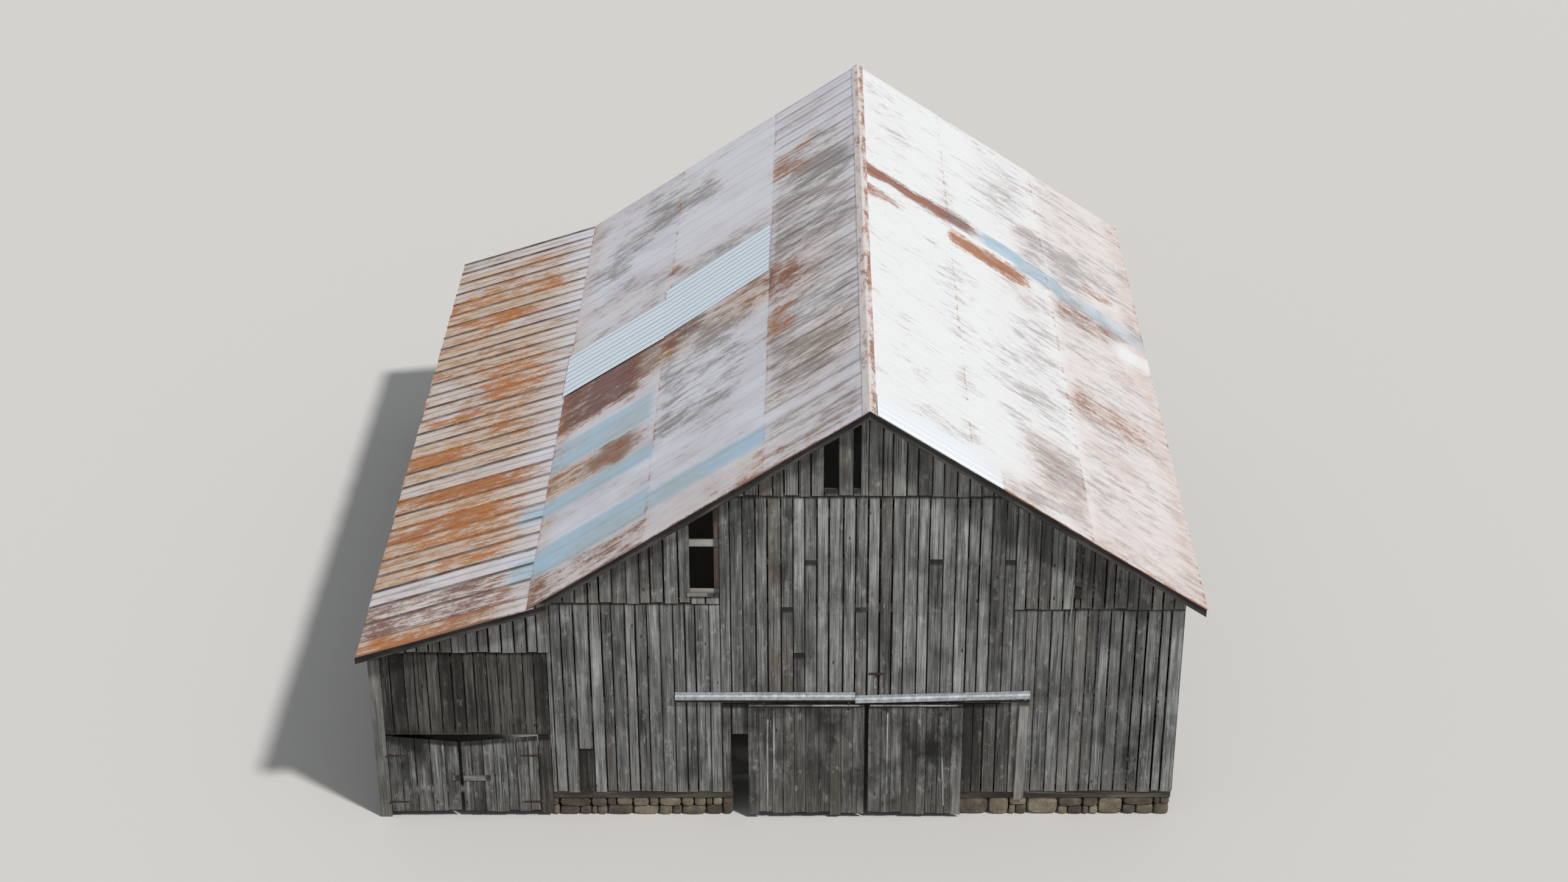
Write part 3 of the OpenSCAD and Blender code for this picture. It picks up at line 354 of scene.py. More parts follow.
# Sawn framing timber, kept dry indoors: brown-grey, grain along its length
dryPine = ("#2c2621", "#4f453a", "#766a5a")
# The same timber out in the weather: grey-black, and darker still as painted shade of the band
# under the boards where the sills show
weatheredAndShadedPine = ("#211e1b", "#45403a", "#706a60")


def timberMaterial(name, along, shades):
    material, add = newMaterial(name)
    place = add("objectPlace")
    # grain 30 mm wide drawn out a metre, and blotches of 200 mm
    grainScale = [1.2 if axis == along else 34.0 for axis in "XYZ"]
    patchScale = [0.8 if axis == along else 5.0 for axis in "XYZ"]
    grain = add("noise", add("vector times", place, grainScale), 1.0, 5.0, 0.65)
    patch = add("noise", add("vector times", place, patchScale), 1.0, 3.0)
    level = add("map", add("plus", grain, patch), 0.7, 1.3)
    colour = add("ramp", level, stops=list(zip((0.0, 0.5, 1.0), shades)))
    return closeMaterial(add, material, colour=colour, bump=(0.4, 0.004, grain),
                         rough=0.82, gloss=0.3)


# Boards along the gable edge, grey-brown and darkened as painted shade of the roof's overhang,
# with a black painted shade line just under the sheets' edge
rakePine = {"shades": ("#211f1d", "#474441", "#696560"), "lip": "#141210"}


def rakeMaterial(name, look):
    material, add = newMaterial(name)
    x, y, z = add("parts", add("objectPlace"))
    away = add("minus", x, barn["ridgeX"])
    shed = add("below", away, -barn["frameX"])
    pitch = add("map", shed, 0.0, 1.0, barn["mainSlope"], barn["shedSlope"])
    run = add("absolute", away)
    rise = add("timesPlus", run, pitch, z)
    board = add("join", run, y, rise)
    # grain 25 mm wide drawn out 600 mm, and blotches of 250 mm
    grain = cloud(add, board, (1.6, 40, 40), 5, 0.36, 0.66)
    blotch = cloud(add, board, (1.1, 4, 4), 4, 0.38, 0.64)
    level = blend(add, [(grain, 0.5), (blotch, 0.5)])
    colour = add("ramp", level, stops=list(zip((0.1, 0.5, 1.0), look["shades"])))
    shedLine = shedTop(barn["frameX"]) + barn["shedSlope"] * barn["frameX"]
    depth = add("minus", add("map", shed, 0.0, 1.0, apex, shedLine), rise)
    # painted shade: black over the top 90 mm, just under the sheets' edge
    colour = add("mix", add("ease", depth, 0.09, 0.02, 0.0, 0.8), colour, look["lip"])
    return closeMaterial(add, material, colour=colour, bump=(0.4, 0.004, grain),
                         rough=0.85, gloss=0.25)


# Forged and rolled iron: brown rust on nails and straps, oiled black on the track's gear,
# dull zinc on the track's hood
irons = {
    "rusted wrought iron": {"metal": 0.2, "rough": 0.8, "stops": [
        (0.0, "#1c1613"), (0.5, "#35261f"), (0.85, "#553a2c"), (1.0, "#6b4a37")]},
    "oiled and blackened track iron": {"metal": 0.3, "rough": 0.7, "stops": [
        (0.0, "#121110"), (0.5, "#252220"), (0.85, "#37322e"), (1.0, "#4b423b")]},
    "weathered galvanised track and hood": {"metal": 0.35, "rough": 0.5, "stops": [
        (0.0, "#7f8283"), (0.4, "#a3a9ac"), (0.8, "#c0c6ca"), (1.0, "#d2d6d8")]},
}


def ironMaterial(name, look):
    material, add = newMaterial(name)
    place = add("objectPlace")
    # patches of 110 mm over a grain of 8 mm, which is coarser than real pits so that it shows
    coarse = add("noise", place, 9.0, 6.0, 0.65)
    fine = add("noise", place, 120.0, 3.0)
    level = add("map", add("timesPlus", fine, 0.5, coarse), 0.5, 1.0)
    colour = add("ramp", level, stops=look["stops"])
    return closeMaterial(add, material, colour=colour, bump=(0.35, 0.002, fine),
                         metal=look["metal"], rough=look["rough"])


# Fieldstone laid dry: rough split faces, buff and grey, with lichen-pale and earth-dark patches
stoneShades = [(0.0, "#372f28"), (0.35, "#5a5045"), (0.7, "#7b7060"), (1.0, "#9c917e")]


def stoneMaterial(name):
    material, add = newMaterial(name)
    place = add("objectPlace")
    # patches of 200 mm and a split grain of 24 mm, on a shade of each stone's own
    coarse = add("noise", place, 5.0, 6.0, 0.6)
    fine = add("noise", place, 42.0, 5.0, 0.7)
    each = add("field", attribute_name="stoneTone")
    level = add("timesPlus", each, 0.5, add("plus", coarse, fine))
    colour = add("ramp", add("map", level, 0.85, 1.65), stops=stoneShades)
    height = add("timesPlus", fine, 0.5, coarse)
    return closeMaterial(add, material, colour=colour, bump=(0.8, 0.015, height), rough=0.92)


greyBoards = boardMaterial("weathered bare pine boards", greyPine)
doorBoards = boardMaterial("damp-blotched pine door boards", doorPine)
darkBoards = boardMaterial("dark stained pine boards", stainedPine)
paleBoards = boardMaterial("younger sawn pine boards", palePine)
roofIron = sheetMaterial("old galvanised sheet iron", sheetIron)
timbers, weathered = [
    {along: timberMaterial(name + along.lower(), along, shades) for along in "XYZ"}
    for name, shades in (("sawn pine timber along ", dryPine),
                         ("weathered pine timber along ", weatheredAndShadedPine))]
rakeBoards = rakeMaterial("weathered rake boards in painted shade", rakePine)
rustyIron, blackIron, trackZinc = [ironMaterial(name, look) for name, look in irons.items()]
fieldStone = stoneMaterial("dry-laid fieldstone")
print("materials made")


# pieces grown from points by Geometry Nodes

def writeField(mesh, key, values):
    single = isinstance(values[0], (int, float))
    layer = mesh.attributes.new(key, "FLOAT" if single else "FLOAT_VECTOR", "POINT")
    if single:
        layer.data.foreach_set("value", values)
    else:
        layer.data.foreach_set("vector", [v for value in values for v in value])


def newMesh(name, vertices, faces=(), material=None):
    mesh = bpy.data.meshes.new(name)
    mesh.from_pydata(vertices, [], faces)
    if material:
        mesh.materials.append(material)
    return mesh


def pointMesh(name, rows):
    mesh = newMesh(name, [row["place"] for row in rows])
    for key in rows[0]:
        if key != "place":
            writeField(mesh, key, [row[key] for row in rows])
    return mesh


def newObject(name, data):
    piece = bpy.data.objects.new(name, data)
    bpy.context.scene.collection.objects.link(piece)
    return piece


def bake(piece, where, thickness):
    if thickness:
        shell = piece.modifiers.new("thickness", "SOLIDIFY")
        shell.thickness = thickness
        shell.offset = -1
    graph = bpy.context.evaluated_depsgraph_get()
    plain = bpy.data.meshes.new_from_object(
        piece.evaluated_get(graph), preserve_all_data_layers=True, depsgraph=graph)
    piece.modifiers.clear()
    seed, piece.data = piece.data, plain
    bpy.data.meshes.remove(seed)
    plain.transform(where)
    plain.update()
    return piece


def grow(name, rows, tree, values, where=Matrix(), thickness=0.0):
    piece = newObject(name, pointMesh(name, rows))
    modifier = piece.modifiers.new("grow", "NODES")
    modifier.node_group = tree
    for item in tree.interface.items_tree:
        if item.in_out == "INPUT" and item.name in values:
            modifier[item.identifier] = values[item.name]
    return bake(piece, where, thickness)


def settle(piece, body, slot, *nodes):
    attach(piece, body)
    if nodes:
        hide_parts(*nodes)


def openTree(name, inputs):
    tree = bpy.data.node_groups.new(name, "GeometryNodeTree")
    kindOf = {int: "Int", float: "Float"}
    sockets = [("INPUT", "Geometry", "Geometry"), ("OUTPUT", "Geometry", "Geometry")]
    sockets += [("INPUT", label, kindOf[type(value)]) for label, value in inputs.items()]
    for direction, label, kind in sockets + [("INPUT", "Finish", "Material")]:
        item = tree.interface.new_socket(
            label, in_out=direction, socket_type="NodeSocket" + kind)
        if label in inputs:
            item.default_value = inputs[label]
    add = partial(put, tree)
    return tree, add, add("groupIn")


# one copy of a shape on each point; "unit" keeps each vertex's place on the shape
def spread(add, given, shape, vectors, numbers=()):
    position = add("position")
    shape = add("store", shape, "unit", position)
    known = {key: add("known", key) for key in ("unit", *vectors)}
    known.update({key: add("known", key, data_type="FLOAT") for key in numbers})
    known["start"] = add("vector minus", position, known["unit"])
    known["position"] = position
    return add("realize", add("copies", given["Geometry"], shape)), known


def closeTree(add, given, geometry, dropped, **stored):
    for key, value in stored.items():
        geometry = add("store", geometry, key, value)
    for key in dropped:
        geometry = add("forget", geometry, key)
    add("groupOut", add("coated", geometry, given["Finish"]))


# boards

def boardTree():
    tree, add, given = openTree("boards on points", {
        "Wane": 0.004, "Bow": 0.003, "Ragged": 0.012})
    boards, known = spread(add, given, add("cube", (1, 1, 1), 3, 2, 9),
                           ("size", "turn"), ("slant", "own"))
    own = known["own"]
    unitX, unitY, unitZ = add("parts", known["unit"])
    wide, thick, high = add("parts", known["size"])
    along = add("plus", unitZ, 0.5)
    # the place of each vertex on its own board, before it is bent and turned
    up = add("times", along, high)
    onBoard = add("join", add("times", unitX, wide), add("times", unitY, thick), up)
    grown = add("vector timesPlus", add("join", own, own, own), (31.0, 17.0, 47.0), onBoard)
    # edges wander over 250 mm, boards bow over two metres, and chips at the foot are 26 mm wide
    rough = add("noise", add("vector times", grown, (4, 1, 2.4)), 1.0, 2.0, out=1)
    bend = add("noise", add("vector times", grown, (1.5, 1, 0.5)), 1.0, 0.0, out=1)
    chips = add("noise", add("vector times", grown, (38, 1, 1)), 1.0, 1.0)
    dx, dy = [product(add, add("minus", part, 0.5), given[amount], 4.0) for part, amount in (
        (add("parts", rough)[0], "Wane"), (add("parts", bend)[1], "Bow"))]
    # the foot is ragged, and the top follows the slope of the roof
    foot = product(add, chips, given["Ragged"], add("below", along, 0.01))
    dz = add("timesPlus", add("times", known["slant"], unitX), along, foot)
    bent = add("vector plus", onBoard, add("join", dx, dy, dz))
    turned = add("turned", bent, known["turn"])
    boards = add("moved", boards, add("vector plus", known["start"], turned))
    fromTop = add("times", add("minus", 1.0, along), high)
    closeTree(add, given, boards, ("unit", "size", "turn", "slant", "own"),
              boardPos=grown, boardRun=add("join", unitX, up, fromTop))
    return tree


boardsOnPoints = boardTree()


# How a wall is boarded where its own entry doesn't say otherwise
boarding = {
    "face": "front", "finish": greyBoards, "tier": "low", "low": 0.58,
    "board": 0.245, "gap": (0.01, 0.046, 0.022), "wander": 0.028, "uneven": (0.0, 0.045),
    "thick": 0.021, "stagger": 0.0015, "shortest": 0.04, "stub": 0.05, "darkening": 0.0,
    "seams": (), "holes": (), "tones": (), "pieced": (), "pieceGap": 0.012,
    "joints": (), "jointed": 0.3, "jointWander": 0.04, "jointGap": 0.004, "jointMargin": 0.4,
    "shade": (0.53, 0.28), "dirt": 0.25,    # lightness and its spread, and the most dirt
}


def oneBoard(dice, x0, x1, low, top0, top1, y, thick, tone=None):
    shade = held(dice.gauss(*boarding["shade"]))
    return {
        "place": ((x0 + x1) / 2, y, low),
        "size": (x1 - x0, thick, (top0 + top1) / 2 - low),
        "slant": top1 - top0,
        "turn": (0.0, 0.0, 0.0),
        "own": dice.random(),
        "boardTone": tone or (shade, dice.random() ** 3, boarding["dirt"] * dice.random() ** 3),
    }


# a board fixed by its lower end and leant over by degrees; at 90 it lies and runs to the right
def looseBoard(dice, place, wide, long, thick, tone=None, lean=0.0):
    row = oneBoard(dice, -wide / 2, wide / 2, 0.0, long, long, 0.0, thick, tone)
    row["place"] = place
    row["turn"] = (0.0, math.radians(lean), 0.0)
    return row


def cutWall(dice, wall):
    wall = {**boarding, **wall}
    marks = {wall["from"], wall["to"], *wall["seams"]}
    for hole in wall["holes"]:
        marks |= {hole[0], hole[1]}
    marks = sorted(m for m in marks if wall["from"] <= m <= wall["to"])
    rows = []
    for start, end in zip(marks, marks[1:]):
        count = max(1, round((end - start) / wall["board"]))
        cuts = [start + (end - start) * i / count for i in range(count + 1)]
        for i in range(1, count):
            cuts[i] += dice.uniform(-wall["wander"], wall["wander"])
        for left, right in zip(cuts, cuts[1:]):
            gap = dice.triangular(*wall["gap"]) / 2
            x0, x1 = left + gap, right - gap
            low = wall["low"] + dice.uniform(*wall["uneven"])
            spans = [[low, wall["top"](x0), wall["top"](x1)]]
            for holeLeft, holeRight, sill, lintel in wall["holes"]:
                if holeLeft < (x0 + x1) / 2 < holeRight:
                    bottom, top0, top1 = spans.pop()
                    if sill > bottom + wall["stub"]:
                        spans.append([bottom, sill, sill])
                    if lintel < min(top0, top1) - wall["stub"]:
                        spans.append([lintel, top0, top1])
            tone = None
            for x, *given in wall["tones"]:
                if x0 <= x <= x1:
                    tone = tuple(given)
            y = wall["y"] + dice.uniform(-wall["stagger"], wall["stagger"])
            # some boards are made of two lengths that butt on a girt
            if wall["joints"] and dice.random() < wall["jointed"]:
                bottom, top0, top1 = spans.pop()
                z = dice.choice(wall["joints"])
                z += dice.uniform(-wall["jointWander"], wall["jointWander"])
                if bottom + wall["jointMargin"] < z < min(top0, top1) - wall["jointMargin"]:
                    spans.append([bottom, z - wall["jointGap"], z - wall["jointGap"]])
                    bottom = z + wall["jointGap"]
                spans.append([bottom, top0, top1])
            # others are pieced on purpose, each length in its own tone
            for x, z, above, below in wall["pieced"]:
                if x0 <= x <= x1:
                    bottom, top0, top1 = spans.pop()
                    rows.append(oneBoard(dice, x0, x1, bottom, z, z, y, wall["thick"], below))
                    spans.append([z + wall["pieceGap"], top0, top1])
                    tone = above
            for bottom, top0, top1 in spans:
                if min(top0, top1) - bottom > wall["shortest"]:
                    rows.append(oneBoard(dice, x0, x1, bottom, top0, top1, y, wall["thick"],
                                         tone))
    for row in rows:
        shade, warmth, dirt = row["boardTone"]
        row["boardTone"] = (shade, warmth, dirt + wall["darkening"])
    return rows


facing = {
    side: Matrix.Translation((x, y, 0)) @ Matrix.Rotation(math.radians(turn), 4, "Z")
    for side, x, y, turn in (
        ("front", barn["ridgeX"], -barn["wallY"], 0),
        ("rear", barn["ridgeX"], barn["wallY"], 180),
        ("right", barn["ridgeX"] + barn["halfWidth"], 0, 90),
        ("left", barn["ridgeX"] - barn["shedX"], 0, -90))
}
tiers = {"low": 0.0125, "up": -0.0125}    # middle of the boards, measured in from the wall's face
seam = {"main": 5.185, "right": 5.045, "peak": 7.595, "shed": 4.025}
peakSeam = (rafterLow(0.0) - seam["peak"]) / barn["mainSlope"]
shedSeam = barn["frameX"] + (shedLow(barn["frameX"]) - seam["shed"]) / barn["shedSlope"]
clearance = 0.004    # boards stop this far under the rafters


def under(roof, limit=99.0):
    return lambda x: min(limit, roof(x) - clearance)


def flat(z):
    return lambda x: z


# Each wall's boards by its solids' names: x from and to across the face, foot and top, and the
# heights of the nail lines; seams are where boards part; holes are x, x, sill and lintel; tones
# are x, lightness, warmth and dirt of the board that stands there; pieced boards are x, height
# of the joint, tone above and tone below; joints are heights where some boards butt. What isn't
# given comes from boarding
walls = {
    "front_left_boards": {"nails": (0.75, 2.83, 4.5), "parts": [
        {"from": -6.245, "to": -2.89, "top": flat(seam["main"]),
         "holes": [(-5.78, -5.48, 0.68, 1.66)],
         "tones": [(-5.3, 0.85, 0.1, 0), (-4.75, 0.75, 0.3, 0), (-3.6, 0.35, 0.5, 0.1)]},
        {"from": -6.34, "to": -6.245, "top": under(shedLow), "board": 0.1}]},
    "front_right_boards": {"nails": (0.75, 2.83, 4.4), "parts": [
        # these boards are darkened all over: partly grey-brown weathering, partly painted shade
        # that falls on the right wing
        {"from": 2.89, "to": 6.27, "top": flat(seam["right"]), "darkening": 0.13,
         "tones": [(4.4, 0.25, 0.6, 0.1), (5.2, 0.3, 0.2, 0.1)]}]},
    "over_door_boards": {"nails": (2.83, 5.0, 6.08, 7.2), "parts": [
        {"from": -2.89, "to": 2.89, "low": 2.765, "top": under(rafterLow, seam["peak"]),
         "seams": [-peakSeam, peakSeam], "uneven": (0.0, 0.02), "joints": (5.0, 6.08),
         "pieced": [(-1.36, 3.95, (0.75, 0.0, 0.0), (0.15, 0.2, 0.4)),
                    (0.16, 4.95, (0.7, 0.2, 0.0), (0.7, 0.3, 0.0))],
         "tones": [(-1.45, 0.8, 0.0, 0), (-0.3, 0.75, 0.2, 0), (0.4, 0.2, 0.6, 0.1),
                   (1.1, 0.85, 0.1, 0), (2.2, 0.75, 0.1, 0)]}]},
    "door_side_boards": {"finish": doorBoards, "nails": (0.75, 2.3), "parts": [
        {"from": -2.89, "to": -2.69, "top": flat(2.76)},
        {"from": -2.69, "to": -2.33, "low": 1.984, "top": flat(2.76)},
        {"from": 1.88, "to": 2.89, "top": flat(2.76),
         "tones": [(1.98, 0.1, 0.8, 0.85), (2.23, 0.1, 0.7, 0.75), (2.5, 0.3, 0.5, 0.35),
                   (2.75, 0.35, 0.4, 0.4)]}]},
    "front_upper_boards": {"nails": (5.25, 5.9, 6.9), "parts": [
        {"from": -6.245, "to": -2.89, "low": 5.12, "top": under(rafterTop), "tier": "up",
         "holes": [(-3.45, -2.89, 5.36, 9.0)], "tones": [(-3.5, 0.3, 0.5, 0.1)]},
        {"from": 2.89, "to": 6.27, "low": 4.98, "top": under(rafterTop), "tier": "up",
         "holes": [(4.06, 4.18, 5.33, 5.62)],
         # the right wing's upper boards carry dirt, partly real and partly painted shade of the
         # right rake's overhang
         "tones": [(3.05, 0.5, 0.2, 0.1), (3.3, 0.4, 0.4, 0.25), (3.55, 0.2, 0.6, 0.5),
                   (3.8, 0.6, 0.2, 0.1), (4.12, 0.15, 0.9, 0.5), (4.3, 0.3, 0.7, 0.3),
                   (4.55, 0.35, 0.4, 0.4), (4.8, 0.3, 0.5, 0.5), (5.05, 0.3, 0.3, 0.45),
                   (5.3, 0.35, 0.3, 0.5), (5.55, 0.4, 0.2, 0.4), (5.8, 0.45, 0.1, 0.3),
                   (6.1, 0.4, 0.2, 0.35)]}]},
    "front_peak_boards": {"nails": (7.62, 8.3, 8.9), "parts": [
        {"from": -2.89, "to": 2.89, "low": 7.53, "top": under(rafterTop), "tier": "up",
         "seams": [0.0], "holes": [(-0.84, -0.58, 7.71, 9.9), (-0.285, -0.15, 7.71, 9.9)],
         "tones": [(0.3, 0.3, 0.2, 0.1), (1.2, 0.25, 0.3, 0.15)]}]},
    "shed_front_boards": {"finish": darkBoards, "nails": (2.08, 3.8), "parts": [
        {"from": -9.85, "to": -6.34, "low": 2.005, "top": under(shedLow, seam["shed"]),
         "seams": [-shedSeam], "uneven": (0.0, 0.03), "tones": [(-8.7, 0.95, 0.3, 0)]},
        {"from": -9.85, "to": -9.64, "top": flat(2.0)},
        {"from": -6.59, "to": -6.34, "top": flat(2.0)}]},
    "shed_upper_boards": {"nails": (4.05,), "parts": [
        {"from": -9.85, "to": -6.245, "low": 3.96, "top": under(shedTop), "tier": "up"},
        {"from": 6.245, "to": 9.85, "low": 3.96, "top": under(shedTop), "tier": "up",
         "face": "rear"}]},
    "right_wall_boards": {"face": "right", "nails": (0.75, 2.83, 4.8), "parts": [
        {"from": -8.725, "to": 8.725, "top": flat(rafterLow(barn["halfWidth"]) - clearance),
         "joints": (2.83,)}]},
    "shed_side_boards": {"face": "left", "nails": (0.75, 2.08, 3.6), "parts": [
        {"from": -8.725, "to": 8.725, "top": flat(shedLow(barn["shedX"]) - clearance)}]},
    "rear_lower_boards": {"face": "rear", "nails": (0.75, 2.83, 4.5), "parts": [
        {"from": -6.27, "to": 6.245, "top": flat(seam["main"])},
        {"from": 6.2455, "to": 9.85, "top": under(shedLow, seam["shed"]),
         "seams": [shedSeam]}]},
    "rear_upper_boards": {"face": "rear", "nails": (5.25, 6.08, 7.5), "parts": [
        {"from": -6.27, "to": 6.245, "low": 5.12, "top": under(rafterTop), "tier": "up",
         "seams": [0.0]}]},
}
slots = {greyBoards.name: "weathered_boards", doorBoards.name: "weathered_boards",
         darkBoards.name: "stained_boards", paleBoards.name: "pale_boards"}
nails = {"aside": 0.3, "slant": 0.03, "margin": 0.06}
nailPoints = {}


def addNails(body, rows, lines, where):
    out = (where.to_3x3() @ Vector((0, -1, 0))).normalized()
    for row in rows:
        x, y, z = row["place"]
        w, t, h = row["size"]
        for line in lines:
            if z + nails["margin"] < line < z + h - nails["margin"]:
                for side in (-1, 1):
                    spot = Vector((x + side * nails["aside"] * w, y - t / 2,
                                   line + side * nails["aside"] * nails["slant"]))
                    nailPoints.setdefault(body, []).append({"place": where @ spot, "out": out})


def growBoards(name, rows, finish, body, node, where=facing["front"], **given):
    piece = grow(name, rows, boardsOnPoints, {"Finish": finish, **given}, where)
    settle(piece, body, slots[finish.name], node)


for order, (node, wall) in enumerate(walls.items()):
    dice = random.Random(100 + order)
    wall = {**boarding, **wall}
    rows = {}
    for part in wall["parts"]:
        part = {**wall, **part}
        part["y"] = tiers[part["tier"]]
        rows.setdefault(part["face"], []).extend(cutWall(dice, part))
    for face, made in rows.items():
        addNails("barn", made, wall["nails"], facing[face])
        name = node.replace("_boards", "_planks") + ("" if len(rows) == 1 else "_" + face)
        growBoards(name, made, wall["finish"], "barn", node, facing[face])
print("walls boarded:", len(walls))


# single boards: corners, jambs, rails and the nailed cover board

# Depths of their middles behind the front wall's face
depth = {"face": tiers["up"], "wall": tiers["low"], "inside": 0.0375, "proud": -0.036,
         "corner": 0.0775, "back": 2 * barn["wallY"]}
# In the order they are made: piece, lower end, width, length, thickness, tone, lean in degrees;
# first the shed's corner boards, front and rear
trims = [
    ("trim_planks", (x, y, 0.0), wide, 3.91, thick, (0.25, 0.0, 0.12), 0)
    for x, y, wide, thick in (
        (-9.7575, depth["face"], 0.235, 0.023),
        (-9.864, depth["corner"], 0.022, 0.145),
        (-9.7575, depth["back"] - depth["face"], 0.235, 0.023),
        (-9.864, depth["back"] - depth["corner"], 0.022, 0.145))]
trims += [
    ("dark_trim_planks", (-6.463, depth["face"], 0.12), 0.242, 1.875, 0.022, (0.6, 0.4, 0.1), 0),
    ("dark_trim_planks", (-5.726, depth["inside"], 0.64), 0.188, 1.06, 0.022, (0.3, 0.4, 0.5), 0),
    ("dark_trim_planks", (-5.534, depth["inside"], 0.64), 0.188, 1.06, 0.022, (0.5, 0.2, 0.2), 0),
    # the leaning cover board, and a thin batten that hangs over the right wing's tier line
    ("trim_planks", (3.13, depth["face"], 0.402), 0.2, 2.415, 0.022, (0.8, 0.0, 0.0), 1),
    ("trim_planks", (4.0, -0.031, 4.72), 0.024, 0.95, 0.012, (1.0, 0.4, 0.0), 2.5),
    # sill, the sill's split edge and rail of the hay opening, and the sills of the peak slots
    ("hay_opening_planks", (-3.597, depth["wall"], 5.41), 0.1, 0.7, 0.022, (1.4, 0.5, 0.0), 90),
    ("hay_opening_planks", (-3.52, depth["proud"], 5.345), 0.07, 0.5, 0.022, (1.4, 0.5, 0.0), 90),
    ("hay_opening_planks", (-3.597, depth["wall"], 6.5), 0.16, 0.7, 0.022, (1.0, 0.1, 0.0), 90),
    ("hay_opening_planks", (-0.84, 0.012, 7.665), 0.09, 0.26, 0.02, (0.9, 1.0, 0.0), 90),
    ("hay_opening_planks", (-0.285, 0.012, 7.665), 0.09, 0.135, 0.02, (0.9, 1.0, 0.0), 90),
]
# finish, the solids they stand for, and how ragged the ends are
trimPieces = {
    "trim_planks": (paleBoards, "trim_boards", 0.02),
    "dark_trim_planks": (darkBoards, "trim_boards", 0.02),
    "hay_opening_planks": (paleBoards, "hay_opening_boards", 0.0),
}


def addTrims():
    dice = random.Random(7)
    rows = {name: [] for name in trimPieces}
    for name, *board in trims:
        rows[name].append(looseBoard(dice, *board))
    for name, (finish, node, ragged) in trimPieces.items():
        growBoards(name, rows[name], finish, "barn", node, Ragged=ragged)


addTrims()
print("trims set")


# sliding doors and shed leaves

# tone says by how much a board's lightness, warmth and dirt are multiplied and raised; strips
# are the kind, x, foot, length and lean of what is nailed on the face
slider = {
    "board": 0.235, "low": 0.06, "uneven": (0.0, 0.09), "gap": (0.002, 0.014, 0.004),
    "thick": 0.018, "top": flat(2.822), "y": -0.062, "short": 0.035, "ragged": 0.03,
    "tone": ((0.85, 0.0), (0.5, 0.3), (1.5, 0.16)), "nails": (0.31, 1.44, 2.57),
    "ledges": (0.31, 1.441, 2.572), "ledgeY": -0.041, "stripY": -0.079, "stripThick": 0.012,
}
leaf = {
    "low": 0.12, "uneven": (0.0, 0.05), "gap": (0.008, 0.028, 0.013),
    "thick": 0.02, "y": -0.014, "short": 0.0, "ragged": 0.02,
    "tone": ((0.6, 0.2), (0.1, 0.0), (1.0, 0.2)), "nails": (0.38, 1.52),
    "ledges": (0.38, 1.52), "ledgeY": 0.008, "stripY": -0.036, "stripThick": 0.02,
}
ledge = {"wide": 0.148, "thick": 0.02, "inset": 0.005}
# Width and tone of what else is nailed on the faces
# the edge strip is a pale batten along a door's top; its pale tone is partly a painted highlight
# of the boards' lit top edge
nailed = {"strip": (0.038, (1.1, 0.0, 0.0)), "edge": (0.032, (1.2, 0.0, 0.0)),
          "cross": (0.116, (0.9, 0.1, 0.0))}


def sagging(hinge, free, atHinge=1.986, atFree=1.841):
    return lambda x: atHinge + (atFree - atHinge) * (x - hinge) / (free - hinge)


hung = {
    "left_door": {
        **slider, "body": "left_sliding_door", "from": -2.3655, "to": -0.0255, "seed": 21,
        "strips": [("strip", -1.985, 0.15, 2.4, 0.3), ("strip", -1.845, 1.2, 1.55, 0),
                   ("edge", -2.3505, 2.77, 2.31, 90)]},
    "right_door": {
        **slider, "body": "right_sliding_door", "from": 0.0495, "to": 1.9495, "seed": 22,
        "strips": [("strip", 0.435, 0.6, 2.1, 0), ("strip", 1.6, 0.3, 2.3, -2.4),
                   ("edge", 0.0645, 2.77, 1.87, 90)]},
    "left_leaf": {
        **leaf, "body": "left_shed_leaf", "from": -9.632, "to": -8.202, "seed": 31,
        "top": sagging(-9.632, -8.202), "board": 0.286,
        "strips": [("cross", -8.372, 0.977, 0.17, 90)]},
    "right_leaf": {
        **leaf, "body": "right_shed_leaf", "from": -8.147, "to": -6.598, "seed": 32,
        "top": sagging(-6.598, -8.147), "board": 0.221,
        "strips": [("cross", -8.147, 0.977, 0.56, 90)]},
}


def hangDoor(node, door):
    dice = random.Random(door["seed"])
    rows = cutWall(dice, door)
    for row in rows:
        w, t, h = row["size"]
        if door["short"]:
            row["size"] = (w, t, h - dice.uniform(0.0, door["short"]))
        row["boardTone"] = tuple(
            value * part + raised for value, (part, raised) in zip(row["boardTone"], door["tone"]))
    addNails(door["body"], rows, door["nails"], facing["front"])
    long = door["to"] - door["from"] - 2 * ledge["inset"]
    for z in door["ledges"]:
        place = (door["from"] + ledge["inset"], door["ledgeY"], z)
        rows.append(looseBoard(dice, place, ledge["wide"], long, ledge["thick"], lean=90))
    for kind, x, z, high, lean in door["strips"]:
        wide, tone = nailed[kind]
        rows.append(looseBoard(dice, (x, door["stripY"], z), wide, high, door["stripThick"],
                               tone, lean))
    growBoards(node + "_planks", rows, doorBoards, door["body"], node,
               Ragged=door["ragged"], Bow=0.0015)


for node, door in hung.items():
    hangDoor(node, door)
print("doors hung")


# roof sheets

ridgePlace = Matrix.Translation((barn["ridgeX"], 0, apex))
shedPlace = Matrix.Translation((barn["ridgeX"] - barn["frameX"], 0, shedTop(barn["frameX"])))
toLeft = Matrix.Rotation(math.pi, 4, "Z")
